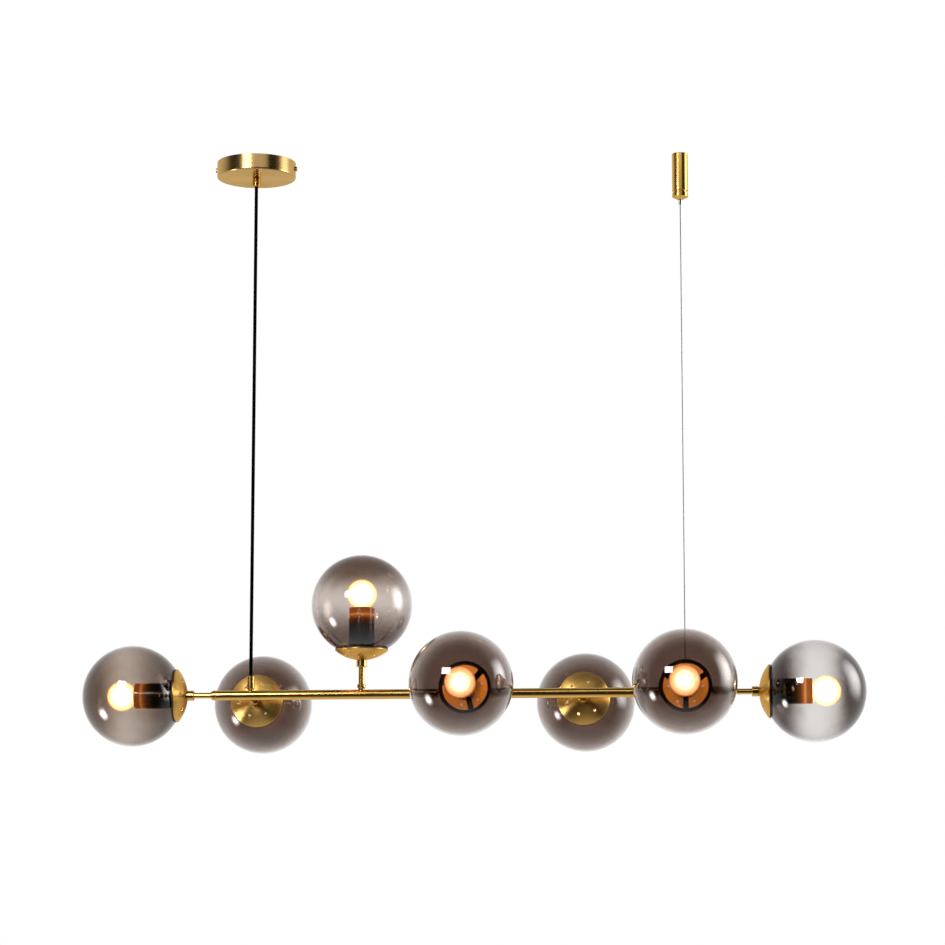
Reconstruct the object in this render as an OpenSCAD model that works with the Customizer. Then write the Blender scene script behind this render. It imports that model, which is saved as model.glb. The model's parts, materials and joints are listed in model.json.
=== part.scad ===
// Linear pendant light: seven smoked glass globes round one horizontal brass bar.
// The bar hangs from a supply cord under a canopy and from a steel wire under a ceiling anchor.
// Origin: middle of the canopy bracket's ceiling face. +X runs along the bar, from the cord
// to the wire, -Y is the side towards the viewer and +Z is up. Sizes are in millimetres.

/* [Hanging] */
// Drop from the ceiling to the axis of the bar
drop = 815; // [600:5:1400]
// Distance of the cord from its end of the bar
cord_inset = 52; // [45:1:130]
// Distance of the steel wire from its end of the bar
wire_inset = 64; // [45:1:130]
// Diameter of the supply cord
cord_d = 5.2; // [4:0.2:6]
// Diameter of the steel wire
wire_d = 1.5; // [1:0.1:2]
// Diameter of one insulated lead inside the cord
lead_d = 1.6; // [1.2:0.1:2]

/* [Bar] */
// Length of the bar tube
bar_length = 762; // [740:2:900]
// Outer diameter of the bar tube
bar_d = 14.5; // [13:0.5:18]
// Wall of the bar tube
bar_wall = 1.2; // [0.8:0.1:1.6]
// Length of the ring that shows at each end of the bar
end_ring_h = 5; // [3:0.5:8]
// Length of the reduced nose outside that ring
end_nose_h = 2.2; // [1:0.2:4]
// Length of the spigot that holds the ring inside the bar
end_spigot_h = 9; // [6:1:14]
// Diameter of the cord grip on the bar
bar_grip_d = 12.2; // [11:0.2:13]
// Height of that grip above the bar
bar_grip_h = 21; // [16:0.5:26]
// Height of the grip's wide part
bar_grip_step_h = 10; // [8:0.5:12]
// Height of the cord's end above the bar, inside the grip
cord_seat_h = 5; // [4:0.5:8]

/* [Arms] */
// Outer diameter of an arm tube
arm_d = 8.5; // [7.5:0.5:9]
// Wall of an arm tube
arm_wall = 1; // [0.6:0.1:1.4]
// Distance from the end of the bar to the centre of an end globe
end_reach = 125.5; // [118:0.5:160]
// Distance from the bar's axis to the centre of the top globe
top_reach = 133; // [122:1:180]
// Distance from the bar's axis to the centre of a front or back globe
side_reach = 165; // [150:1:200]
// Place of the top globe along the bar, from its middle
top_place = -163; // [-180:1:-150]
// Place of the left front globe
front_left_place = 0; // [-20:1:20]
// Distance of the right front globe from its end of the bar
front_right_inset = 62; // [46:1:71]
// Distance of the left back globe from its end of the bar
back_left_inset = 46; // [36:1:61]
// Place of the right back globe
back_right_place = 162; // [150:1:175]
// Diameter of the boss that carries an arm on the bar
boss_d = 12.4; // [11.5:0.1:14]
// Height of that boss above the bar
boss_h = 8; // [6:0.5:12]
// Diameter of the boss's narrowed foot
boss_foot_d = 9; // [8:0.2:10]
// Diameter of the collar under a cap
collar_d = 15; // [14.4:0.2:17]
// Length of that collar
collar_h = 11; // [9:0.5:16]
// Depth that a tube goes into its collar
tube_grip = 4; // [3:0.5:5]
// Chamfer on the edges of collars and bosses
collar_chamfer = 0.8; // [0.4:0.1:1.2]

/* [Globes] */
// Outer diameter of a glass globe
globe_d = 150; // [140:1:160]
// Wall of the glass
glass_wall = 2; // [1.6:0.1:3]
// Outer diameter of the glass at its cut neck
neck_d = 77.6; // [74:0.2:80]
// Thickness of the rubber ring between the glass and the cap
gasket_h = 2; // [1.5:0.1:3]
// Radial width of that ring
gasket_w = 6.5; // [5:0.1:7]

/* [Caps] */
// Outer diameter of a cap's rim
cap_d = 79; // [78:0.5:84]
// Depth of a cap, from its rim to the flat that the collar bears on
cap_depth = 15; // [12:0.5:18]
// Sheet that a cap is spun from
cap_sheet = 1; // [0.8:0.1:1.2]
// Height of the straight band at a cap's rim
cap_band = 1.4; // [1:0.1:2]
// Diameter of the flat in the middle of a cap
cap_flat_d = 18; // [17:0.5:20]
// Diameter of a vent hole
vent_d = 4; // [3:0.2:5]
// Diameter of the ring of vent holes
vent_ring_d = 50; // [46:1:54]
// Number of vent holes in a cap
vents = 6; // [3:3:9]
// Width of a spring strip that grips the glass
clip_w = 8; // [6:0.5:10]
// Thickness of that strip
clip_sheet = 0.8; // [0.5:0.1:1]
// Height of the strip's finger above the cut neck
clip_finger_h = 8; // [5:0.5:12]
// Spring strips on a cap
clips = 3; // [3:1:3]

/* [Lampholders] */
// Outer diameter of a lampholder
holder_d = 38; // [36:0.5:40]
// Length of a lampholder
holder_h = 61; // [58:1:64]
// Distance from the globe's centre back to the lampholder's mouth
holder_mouth = 4; // [1:0.5:6]
// Radius of the lampholder's shoulder
holder_shoulder = 6; // [3:0.5:8]
// Distance from the mouth to the moulded bead
holder_bead_place = 11; // [8:0.5:16]
// Height that the bead stands proud
holder_bead = 0.5; // [0.3:0.1:0.8]
// Inner diameter of the screw shell
shell_d = 26.8; // [26.6:0.1:27.4]
// Sheet of the screw shell
shell_sheet = 0.5; // [0.3:0.1:0.7]
// Length of the screw shell
shell_h = 24; // [20:1:28]
// Thread diameter of the hollow nipple through a cap
nipple_d = 10; // [8:0.5:10]
// Bore of the hollow nipple
nipple_bore = 7; // [5:0.5:7]
// Width across flats of the nut on the nipple
nut_af = 14; // [13:0.5:16]
// Height of the nut
nut_h = 3; // [2:0.5:4]

/* [Bulbs] */
// Diameter of a bulb's ball
bulb_d = 45; // [40:1:48]
// Overall length of a bulb
bulb_h = 78; // [74:1:82]
// Distance from the globe's centre to the far end of its bulb
bulb_tip = 39; // [36:0.5:42]
// Wall of a bulb's glass
bulb_wall = 0.9; // [0.6:0.1:1.2]
// Diameter of a bulb's screw base
base_d = 26; // [25.6:0.1:26.2]
// Length of the straight part of that base
base_h = 21; // [19:0.5:23]
// Length of the insulator below the straight part
insulator_h = 4.5; // [3:0.5:6]
// Height of the contact button under the insulator
button_h = 1.5; // [1:0.1:2]

/* [Canopy] */
// Diameter of the canopy
canopy_d = 120; // [105:1:140]
// Height of the canopy
canopy_h = 24; // [22:0.5:32]
// Sheet that the canopy is spun from
canopy_sheet = 1.2; // [0.8:0.1:1.5]
// Radius on the canopy's lower edge
canopy_edge = 2.4; // [1.8:0.1:4]
// Depth of the canopy's side screws below the ceiling
side_screw_z = 10; // [9:0.5:12]
// Thread diameter of a side screw
side_screw_d = 4; // [3:0.5:4]
// Length of the cord grip below the canopy
grip_h = 13; // [10:0.5:18]
// Diameter of the cord grip
grip_d = 12; // [11:0.2:14]
// Thread diameter of the grip's stem
stem_d = 10; // [9:0.2:10.4]
// Height of the stem above the canopy's underside
stem_h = 9; // [7:0.5:12]

/* [Bracket and wiring] */
// Width of the bracket strip
bracket_w = 16; // [14:1:20]
// Thickness of the bracket strip
bracket_sheet = 1.5; // [1.2:0.1:2]
// Length of the bracket's turned-down ears
ear_h = 16; // [14:0.5:18]
// Distance between the two ceiling slots
slot_spacing = 70; // [60:1:76]
// Width of a ceiling slot
slot_w = 5; // [4:0.5:6]
// Length of a ceiling slot from end to end
slot_length = 12; // [9:0.5:14]
// Diameter of the wiring hole in the bracket
wiring_hole_d = 11; // [8:0.5:12]
// Length of the terminal block
block_l = 30; // [27:1:36]
// Width of the terminal block
block_w = 16; // [14:1:20]
// Height of the terminal block
block_h = 11; // [10:0.5:12]
// Poles in the terminal block
poles = 3; // [2:1:3]

/* [Ceiling anchor] */
// Diameter of the anchor's barrel
anchor_d = 24; // [20:0.5:30]
// Length of the barrel
anchor_h = 58; // [50:1:80]
// Wall of the barrel
anchor_wall = 2; // [1.6:0.1:2.5]
// Height of the plug that is screwed to the ceiling
plug_h = 8; // [6:0.5:12]
// Diameter of the plug's screw hole
plug_hole_d = 4.6; // [3.6:0.2:5.2]
// Thickness of the web inside the barrel
web_h = 3; // [2:0.5:4]
// Depth that the end nut goes into the barrel
nut_spigot_h = 10; // [9:0.5:14]
// Height of the groove between the barrel and the end nut
groove_h = 2.5; // [1:0.5:4]
// Height of the end nut's cylinder
end_nut_h = 6.5; // [5:0.5:10]
// Height of the end nut's cone
cone_h = 4; // [2:0.5:6]
// Diameter of the plunger that shows below the end nut
plunger_d = 5; // [4.4:0.2:6]
// Length of the plunger below the end nut
plunger_h = 7.5; // [6:0.5:10]
// Distance that the plunger is pushed in to free the wire
plunger_travel = 3; // [2:0.5:4]
// Height of the wire socket on the bar
socket_h = 14; // [11:0.5:20]
// Diameter of the wire socket
socket_d = 9; // [8.4:0.2:11]
// Depth that the wire goes into its socket
wire_grip = 8; // [5:0.5:9]

/* [Clearances] */
// Gap at a screwed or pressed seat, on the radius
seat_gap = 0.1; // [0.05:0.01:0.15]
// Gap between pieces that move past each other, on the radius
run_gap = 0.3; // [0.2:0.05:0.4]
// Gap between the glass and the rubber ring that it rests on
glass_gap = 0.2; // [0.1:0.05:0.3]

/* [Hidden] */
$fn = 96;
head_names = ["left", "right", "top", "front_left", "front_right", "back_left", "back_right"];
heads = [0 : len(head_names) - 1];

// Colours
brass = "#c9a14a";
steel = "#b9bcc0";
black = "#1a1a1c";
smoke = "#6f6660";
cream = "#ece6d6";

// Places along and below the ceiling
bar_x = bar_length / 2 - cord_inset;
bar_z = -drop;
bar_r = bar_d / 2;
bar_bore_r = bar_r - bar_wall;
anchor_x = bar_length - cord_inset - wire_inset;
mouth_z = -canopy_h - grip_h;

// One head's own frame: origin at the globe's centre, +Z away from the arm
head_place = [
    -bar_length / 2,
    bar_length / 2,
    top_place,
    front_left_place,
    bar_length / 2 - front_right_inset,
    back_left_inset - bar_length / 2,
    back_right_place
];
head_reach = [end_reach, end_reach, top_reach, side_reach, side_reach, side_reach, side_reach];
head_turn = [[0, -90, 0], [0, 90, 0], [0, 0, 0], [90, 0, 0], [90, 0, 0], [-90, 0, 0], [-90, 0, 0]];
head_spin = [30, 30, 30, 16, 0, -7, -13];

// Heights in a head's own frame, from the glass back to the bar
globe_r = globe_d / 2;
neck_r = neck_d / 2;
glass_in_r = globe_r - glass_wall;
neck_z = -sqrt(pow(globe_r, 2) - pow(neck_r, 2));
neck_bore_r = sqrt(pow(glass_in_r, 2) - pow(neck_z, 2));
cap_r = cap_d / 2;
rim_z = neck_z - glass_gap - gasket_h;
cap_z = rim_z - cap_depth;
cap_in_z = cap_z + cap_sheet;
collar_z = cap_z - collar_h;
arm_r = arm_d / 2;
arm_top_z = collar_z + tube_grip;

// The cap's dome is part of a sphere through the rim band's foot and the middle flat's edge
dome_z = rim_z - cap_band;
flat_r = cap_flat_d / 2;
dome_h = dome_z - cap_z;
dome_rise = (pow(cap_r, 2) - pow(flat_r, 2) + pow(dome_h, 2)) / (2 * dome_h);
dome_r = sqrt(pow(dome_rise, 2) + pow(flat_r, 2));
dome_centre_z = cap_z + dome_rise;

// Lampholder and what it holds
holder_r = holder_d / 2;
mouth_plane = -holder_mouth;
holder_z = mouth_plane - holder_h;
shell_r = shell_d / 2;
cavity_r = shell_r + shell_sheet + seat_gap;
base_tip_z = bulb_tip - bulb_h;
base_rim_z = base_tip_z + button_h + insulator_h + base_h;
contact_gap = 0.3;
contact_h = 4;
cavity_floor_z = base_tip_z - contact_gap - contact_h;
partition_h = 3;
chamber_z = cavity_floor_z - partition_h;
entry_h = 5;
nipple_r = nipple_d / 2;
nipple_top_z = holder_z + entry_h - 1;
nipple_foot_z = collar_z + tube_grip + 2;
bulb_r = bulb_d / 2;
bulb_centre_z = bulb_tip - bulb_r;
base_r = base_d / 2;
base_sheet = 0.5;
glass_foot_z = base_rim_z - 2;
bulb_neck_r = base_r - base_sheet - seat_gap / 2;

// Boss on the bar: heights count from the bar's axis
boss_neck_h = 0.8;
boss_flare_h = 2.2;
boss_top = bar_r + boss_h;
boss_foot = bar_r + boss_neck_h;
boss_wide = boss_foot + boss_flare_h;
cope_gap = 0.02;

// Cord and wire: straight under load, from the swing axis to their seats on the bar
cord_r = cord_d / 2;
cord_rise = 1;
cord_top_z = mouth_z + cord_rise;
tail_gap = 2;
bar_grip_top = bar_r + bar_grip_h;
bar_grip_step = bar_r + bar_grip_step_h;
cord_foot = bar_r + cord_seat_h;
cord_route = [[0, 0, cord_top_z], [0, 0, bar_z + cord_foot]];
cord_rings = 58;
cord_sides = 10;
wire_r = wire_d / 2;
wire_rise = 0.5;
tip_z = -anchor_h - groove_h - end_nut_h - cone_h - plunger_h;
wire_foot = bar_r + socket_h - wire_grip;
wire_route = [[anchor_x, 0, tip_z + wire_rise], [anchor_x, 0, bar_z + wire_foot]];
wire_rings = 78;
wire_sides = 8;
lead_sides = 8;

// Anchor: heights of its pieces below the ceiling
anchor_r = anchor_d / 2;
anchor_bore_r = anchor_r - anchor_wall;
spigot_z = -anchor_h + nut_spigot_h;
nut_z = -anchor_h - groove_h;
cone_z = nut_z - end_nut_h;
cone_tip_z = cone_z - cone_h;
plunger_r = plunger_d / 2;
plunger_flange = 1.6;
plunger_head_r = plunger_r + plunger_flange;
chamber_r = plunger_head_r + run_gap;
chamber_floor_z = cone_z + 1;
plunger_head_z = chamber_floor_z + seat_gap;
plunger_head_h = 5;
cone_tip_r = plunger_head_r;
groove_depth = 1.4;

// Bracket: its ears stand just inside the canopy's wall
canopy_r = canopy_d / 2;
canopy_in_r = canopy_r - canopy_sheet;
ear_x = sqrt(pow(canopy_in_r, 2) - pow(bracket_w / 2, 2)) - run_gap;
side_screw_r = side_screw_d / 2;
screw_head_r = side_screw_r + 1.6;
screw_head_h = 2.4;
clamp_screw_r = 1.5;
clamp_screw_h = 0.8;
block_x = wiring_hole_d / 2 + block_w / 2 + 2;
block_pitch = block_l / poles;

// Points evenly spaced on the straight stretches of a route
function on_route(route, t) =
    let (last = len(route) - 2, s = t * (last + 1), i = min(floor(s), last), f = s - i)
    route[i] * (1 - f) + route[i + 1] * f;

// Points along a smooth curve with two end points and two pull points
function on_bow(p, t) =
    pow(1 - t, 3) * p[0] + 3 * t * pow(1 - t, 2) * p[1] + 3 * t * t * (1 - t) * p[2] + pow(t, 3) * p[3];

// Direction of a list of points at one of them
function heading(points, i) =
    let (d = points[min(i + 1, len(points) - 1)] - points[max(i - 1, 0)]) d / norm(d);

// A round tube swept along a list of points, with its section kept square to the path
module swept_tube(points, r, sides) {
    rings = len(points);
    side_axis = [0, 1, 0];
    skin = [
        for (i = [0 : rings - 1])
            let (
                w = heading(points, i),
                u0 = side_axis - w * (side_axis * w),
                u = u0 / norm(u0),
                v = cross(w, u)
            )
            for (k = [0 : sides - 1])
                points[i] + r * (u * cos(360 * k / sides) + v * sin(360 * k / sides))
    ];
    walls = [
        for (i = [0 : rings - 2])
            for (k = [0 : sides - 1])
                let (a = i * sides + k, b = i * sides + (k + 1) % sides)
                each [[a, a + sides, b], [b, a + sides, b + sides]]
    ];
    ends = [
        for (k = [1 : sides - 2])
            each [
                [0, k, k + 1],
                [(rings - 1) * sides, (rings - 1) * sides + k + 1, (rings - 1) * sides + k]
            ]
    ];
    polyhedron(skin, concat(walls, ends), convexity = 4);
}

// A straight tube piece about Z, between two heights
module pipe(outer_r, inner_r, low, high) {
    translate([0, 0, low])
        difference() {
            cylinder(r = outer_r, h = high - low);
            translate([0, 0, -1])
                cylinder(r = inner_r, h = high - low + 2);
        }
}

// Puts its children at one head, in the head's own frame
module at_head(i) {
    translate([bar_x + head_place[i], 0, bar_z])
        rotate(head_turn[i])
            translate([0, 0, head_reach[i]])
                rotate([0, 0, head_spin[i]])
                    children();
}

// Puts its children on the bar below a head, with +Z along that head's arm
module at_bar(i) {
    translate([bar_x + head_place[i], 0, bar_z])
        rotate(head_turn[i])
            children();
}

// Canopy: a spun dish with a rolled lower edge, open to the ceiling
module canopy() {
    color(brass)
        difference() {
            rotate_extrude()
                difference() {
                    dish_section(canopy_r, -canopy_h, canopy_edge);
                    translate([0, 0.01])
                        dish_section(canopy_in_r, -canopy_h + canopy_sheet - 0.01, canopy_edge - canopy_sheet);
                }
            translate([0, 0, -canopy_h - 1])
                cylinder(r = stem_d / 2 + seat_gap, h = canopy_sheet + 2);
            for (side = [-1, 1])
                translate([side * canopy_r, 0, -side_screw_z])
                    rotate([0, 90, 0])
                        cylinder(r = side_screw_r + seat_gap, h = 8, center = true);
        }
}

module dish_section(r, floor_z, edge) {
    square_z = floor_z + edge;
    translate([0, square_z])
        square([r, -square_z]);
    translate([0, floor_z])
        square([r - edge, edge + 0.01]);
    intersection() {
        translate([r - edge, square_z])
            circle(r = edge);
        translate([r - edge - 0.01, floor_z])
            square([edge + 0.01, edge + 0.01]);
    }
}

// Bracket: a slotted strip on the ceiling with two tapped ears for the side screws
module canopy_bracket() {
    color(steel)
        difference() {
            union() {
                translate([-ear_x, -bracket_w / 2, -bracket_sheet])
                    cube([2 * ear_x, bracket_w, bracket_sheet]);
                for (side = [-1, 1])
                    translate([side * (ear_x - bracket_sheet / 2), 0, -ear_h / 2])
                        cube([bracket_sheet, bracket_w, ear_h], center = true);
            }
            translate([0, 0, -bracket_sheet - 1])
                cylinder(d = wiring_hole_d, h = bracket_sheet + 2);
            for (side = [-1, 1]) {
                translate([side * slot_spacing / 2, 0, -bracket_sheet - 1])
                    ceiling_slot();
                translate([side * ear_x, 0, -side_screw_z])
                    rotate([0, 90, 0])
                        cylinder(r = side_screw_r + seat_gap, h = 8, center = true);
            }
        }
}

module ceiling_slot() {
    run = slot_length - slot_w;
    for (side = [-1, 1])
        translate([side * run / 2, 0, 0])
            cylinder(d = slot_w, h = bracket_sheet + 2);
    translate([-run / 2, -slot_w / 2, 0])
        cube([run, slot_w, bracket_sheet + 2]);
}

// Screws: two that fix the canopy to its bracket and the one that clamps the cord
module canopy_screws() {
    color(brass) {
        for (side = [-1, 1])
            translate([side * canopy_r, 0, -side_screw_z])
                rotate([0, side * 90, 0])
                    side_screw();
        translate([0, -grip_d / 2, -canopy_h - grip_h / 2])
            rotate([90, 0, 0])
                cylinder(r = clamp_screw_r, h = clamp_screw_h);
    }
}

module side_screw() {
    shank = canopy_r - ear_x + bracket_sheet + 2;
    slot = 0.8;
    difference() {
        union() {
            cylinder(r = screw_head_r, h = screw_head_h);
            translate([0, 0, -shank])
                cylinder(r = side_screw_r, h = shank + 0.1);
        }
        translate([-screw_head_r - 1, -slot / 2, screw_head_h - slot])
            cube([2 * screw_head_r + 2, slot, 2]);
    }
}

// Cord grip: a turned sleeve with a threaded stem, and a mouth flared for the swinging cord
module canopy_cord_grip() {
    bore_r = cord_r + seat_gap;
    flare_r = cord_r + 1;
    flare_h = 2.6;
    edge = 0.6;
    color(brass)
        difference() {
            union() {
                translate([0, 0, mouth_z])
                    chamfered_rod(grip_d / 2, grip_h, edge);
                translate([0, 0, -canopy_h - 0.1])
                    cylinder(r = stem_d / 2, h = stem_h + 0.1);
            }
            translate([0, 0, mouth_z - 1])
                cylinder(r = bore_r, h = grip_h + stem_h + 2);
            translate([0, 0, mouth_z - 0.01])
                cylinder(r1 = flare_r, r2 = bore_r, h = flare_h);
        }
}

module chamfered_rod(r, h, edge) {
    rotate_extrude()
        polygon([[0, 0], [r - edge, 0], [r, edge], [r, h - edge], [r - edge, h], [0, h]]);
}

// Nut inside the canopy that holds the grip's stem
module canopy_grip_nut() {
    color(steel)
        translate([0, 0, -canopy_h + canopy_sheet])
            hex_nut(stem_d / 2 + seat_gap, stem_d + 5, nut_h);
}

module hex_nut(bore_r, across_flats, h) {
    difference() {
        cylinder(d = across_flats / cos(30), h = h, $fn = 6);
        translate([0, 0, -1])
            cylinder(r = bore_r, h = h + 2);
    }
}

// Terminal block: a moulded strip with one wire bore and one screw tower for each pole
module terminal_block() {
    tower_r = 3.4;
    tower_h = 3;
    screw_hole_r = 1.8;
    color(cream)
        translate([block_x, 0, -bracket_sheet - block_h])
            difference() {
                union() {
                    translate([-block_w / 2, -block_l / 2, tower_h])
                        cube([block_w, block_l, block_h - tower_h]);
                    for (p = [0 : poles - 1])
                        translate([0, (p - (poles - 1) / 2) * block_pitch, 0])
                            cylinder(r = tower_r, h = tower_h + 1);
                }
                for (p = [0 : poles - 1])
                    translate([0, (p - (poles - 1) / 2) * block_pitch, 0]) {
                        translate([0, 0, block_h / 2 + 1])
                            rotate([0, 90, 0])
                                cylinder(r = lead_d / 2 + seat_gap, h = block_w + 2, center = true);
                        translate([0, 0, -1])
                            cylinder(r = screw_hole_r, h = tower_h + 1);
                    }
            }
}

// Tail of the cord inside the grip, with its leads bent over to the terminal block
module supply_leads() {
    tail_top = -canopy_h + stem_h + 1;
    lead_z = -bracket_sheet - block_h / 2 + 1;
    color(black)
        translate([0, 0, mouth_z + tail_gap])
            cylinder(r = cord_r, h = tail_top - mouth_z - tail_gap);
    color(cream)
        for (p = [0 : poles - 1]) {
            y = (p - (poles - 1) / 2);
            from = [0, y * cord_d / poles * 0.95, tail_top - 1];
            to = [block_x - block_w / 2 + 3, y * block_pitch, lead_z];
            gate = to - [3.5, 0, 0];
            bow = [from, from + [0, 0, 5], gate - [8, 0, 0], gate];
            swept_tube(concat([for (k = [0 : 12]) on_bow(bow, k / 12)], [to]), lead_d / 2, lead_sides);
        }
}

// Anchor plug: screwed to the ceiling through its countersunk hole
module anchor_plug() {
    sink_r = plug_hole_d;
    color(steel)
        translate([anchor_x, 0, -plug_h])
            difference() {
                cylinder(r = anchor_bore_r - seat_gap, h = plug_h);
                translate([0, 0, -1])
                    cylinder(d = plug_hole_d, h = plug_h + 2);
                translate([0, 0, -0.01])
                    cylinder(r1 = sink_r, r2 = plug_hole_d / 2, h = sink_r - plug_hole_d / 2);
            }
}

// Anchor barrel: a turned tube with a web that closes the gripper's chamber
module anchor_barrel() {
    color(brass)
        translate([anchor_x, 0, 0])
            difference() {
                translate([0, 0, -anchor_h])
                    chamfered_rod(anchor_r, anchor_h, 0.5);
                translate([0, 0, spigot_z + web_h])
                    cylinder(r = anchor_bore_r, h = anchor_h);
                translate([0, 0, -anchor_h - 1])
                    cylinder(r = anchor_bore_r, h = nut_spigot_h + 1);
                translate([0, 0, -anchor_h])
                    cylinder(r = wire_r + 1, h = anchor_h);
            }
}

// End nut: spigot, groove, cylinder and cone, bored for the plunger
module anchor_end_nut() {
    groove_r = anchor_r - groove_depth;
    edge = 0.5;
    color(brass)
        translate([anchor_x, 0, 0])
            difference() {
                rotate_extrude()
                    polygon([
                        [0, spigot_z],
                        [anchor_bore_r - seat_gap, spigot_z],
                        [anchor_bore_r - seat_gap, -anchor_h],
                        [groove_r, -anchor_h],
                        [groove_r, nut_z],
                        [anchor_r - edge, nut_z],
                        [anchor_r, nut_z - edge],
                        [anchor_r, cone_z],
                        [cone_tip_r, cone_tip_z],
                        [0, cone_tip_z]
                    ]);
                translate([0, 0, cone_tip_z - 1])
                    cylinder(r = plunger_r + run_gap / 2, h = cone_h + 3);
                translate([0, 0, chamber_floor_z])
                    cylinder(r = chamber_r, h = spigot_z - chamber_floor_z + 1);
            }
}

// Plunger: pushed up into the nut it frees the wire, and a flange keeps it in
module anchor_plunger() {
    bore_r = wire_r + 0.2;
    flare = 0.7;
    flare_h = 1.6;
    edge = 0.4;
    color(steel)
        translate([anchor_x, 0, 0])
            difference() {
                union() {
                    translate([0, 0, tip_z])
                        chamfered_rod(plunger_r, plunger_head_z - tip_z + 1, edge);
                    translate([0, 0, plunger_head_z])
                        cylinder(r = plunger_head_r, h = plunger_head_h);
                }
                translate([0, 0, tip_z - 1])
                    cylinder(r = bore_r, h = anchor_h);
                translate([0, 0, tip_z - 0.01])
                    cylinder(r1 = bore_r + flare, r2 = bore_r, h = flare_h);
            }
}

module suspension_cord() {
    points = [for (k = [0 : cord_rings - 1]) on_route(cord_route, k / (cord_rings - 1))];
    color(black)
        swept_tube(points, cord_r, cord_sides);
}

module suspension_wire() {
    points = [for (k = [0 : wire_rings - 1]) on_route(wire_route, k / (wire_rings - 1))];
    color(steel)
        swept_tube(points, wire_r, wire_sides);
}

// Cord grip on the bar: a stepped sleeve with a narrowed foot, coped to the tube
module bar_cord_grip() {
    wide_r = bar_grip_d / 2;
    step = 0.7;
    slim_r = wide_r - step;
    edge = 0.6;
    passage_r = cord_r - 0.6;
    color(brass)
        translate([0, 0, bar_z])
            difference() {
                rotate_extrude()
                    polygon([
                        [0, 0],
                        [boss_foot_d / 2, 0],
                        [boss_foot_d / 2, boss_foot],
                        [wide_r, boss_wide],
                        [wide_r, bar_grip_step - step],
                        [slim_r, bar_grip_step],
                        [slim_r, bar_grip_top - edge],
                        [slim_r - edge, bar_grip_top],
                        [0, bar_grip_top]
                    ]);
                bar_cope();
                translate([0, 0, cord_foot])
                    cylinder(r = cord_r + seat_gap, h = bar_grip_top);
                cylinder(r = passage_r, h = bar_grip_top);
            }
}

// The bar's own cylinder, cut out of whatever sits on it
module bar_cope() {
    rotate([0, 90, 0])
        cylinder(r = bar_r + cope_gap, h = 4 * boss_d, center = true);
}

// Wire socket on the bar: a small turned cone that holds the end of the wire
module bar_wire_socket() {
    r = socket_d / 2;
    tip_r = wire_r + 1.2;
    taper_h = 4;
    top = bar_r + socket_h;
    color(brass)
        translate([anchor_x, 0, bar_z])
            difference() {
                rotate_extrude()
                    polygon([[0, 0], [r, 0], [r, top - taper_h], [tip_r, top], [0, top]]);
                bar_cope();
                translate([0, 0, wire_foot])
                    cylinder(r = wire_r + seat_gap, h = socket_h);
            }
}

// Bar: a thin tube with a wire hole under every arm, the cord grip and the wire socket
module bar_tube() {
    hole_r = arm_r - arm_wall - 0.25;
    color(brass)
        difference() {
            translate([bar_x, 0, bar_z])
                rotate([0, 90, 0])
                    cylinder(r = bar_r, h = bar_length, center = true);
            translate([bar_x, 0, bar_z])
                rotate([0, 90, 0])
                    cylinder(r = bar_bore_r, h = bar_length + 2, center = true);
            for (i = [2 : len(head_names) - 1])
                at_bar(i)
                    cylinder(r = hole_r, h = 2 * bar_r);
            translate([0, 0, bar_z])
                cylinder(r = cord_r - 0.6, h = 2 * bar_r);
        }
}

// End rings: plugs with a chamfered ring and a nose, bored for the end arms
module bar_end_rings() {
    ring_r = bar_r + 0.2;
    nose_r = bar_r - 1;
    edge = 0.5;
    spigot_r = bar_bore_r - seat_gap;
    color(brass)
        for (i = [0, 1])
            at_bar(i)
                difference() {
                    rotate_extrude()
                        polygon([
                            [0, -end_spigot_h],
                            [spigot_r, -end_spigot_h],
                            [spigot_r, 0],
                            [ring_r - collar_chamfer, 0],
                            [ring_r, collar_chamfer],
                            [ring_r, end_ring_h - collar_chamfer],
                            [nose_r, end_ring_h],
                            [nose_r, end_ring_h + end_nose_h - edge],
                            [nose_r - edge, end_ring_h + end_nose_h],
                            [0, end_ring_h + end_nose_h]
                        ]);
                    cylinder(r = arm_r + seat_gap, h = end_ring_h + end_nose_h + 1);
                    translate([0, 0, -end_spigot_h - 1])
                        cylinder(r = arm_r - arm_wall, h = end_spigot_h + 2);
                }
}

// Bosses: coped to the bar, narrow at the foot, with a socket for the arm tube
module bar_bosses() {
    r = boss_d / 2;
    color(brass)
        for (i = [2 : len(head_names) - 1])
            at_bar(i)
                difference() {
                    rotate_extrude()
                        polygon([
                            [0, 0],
                            [boss_foot_d / 2, 0],
                            [boss_foot_d / 2, boss_foot],
                            [r, boss_wide],
                            [r, boss_top - collar_chamfer],
                            [r - collar_chamfer, boss_top],
                            [0, boss_top]
                        ]);
                    bar_cope();
                    translate([0, 0, boss_top - tube_grip])
                        cylinder(r = arm_r + seat_gap, h = boss_h);
                    cylinder(r = arm_r - arm_wall, h = boss_top);
                }
}

// Arm tubes: from the bottom of each boss or end ring up into the cap's collar
module arm_tubes() {
    color(brass)
        for (i = heads) {
            start = i < 2 ? 0 : boss_top - tube_grip;
            at_bar(i)
                pipe(arm_r, arm_r - arm_wall, start, head_reach[i] + arm_top_z);
        }
}

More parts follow.
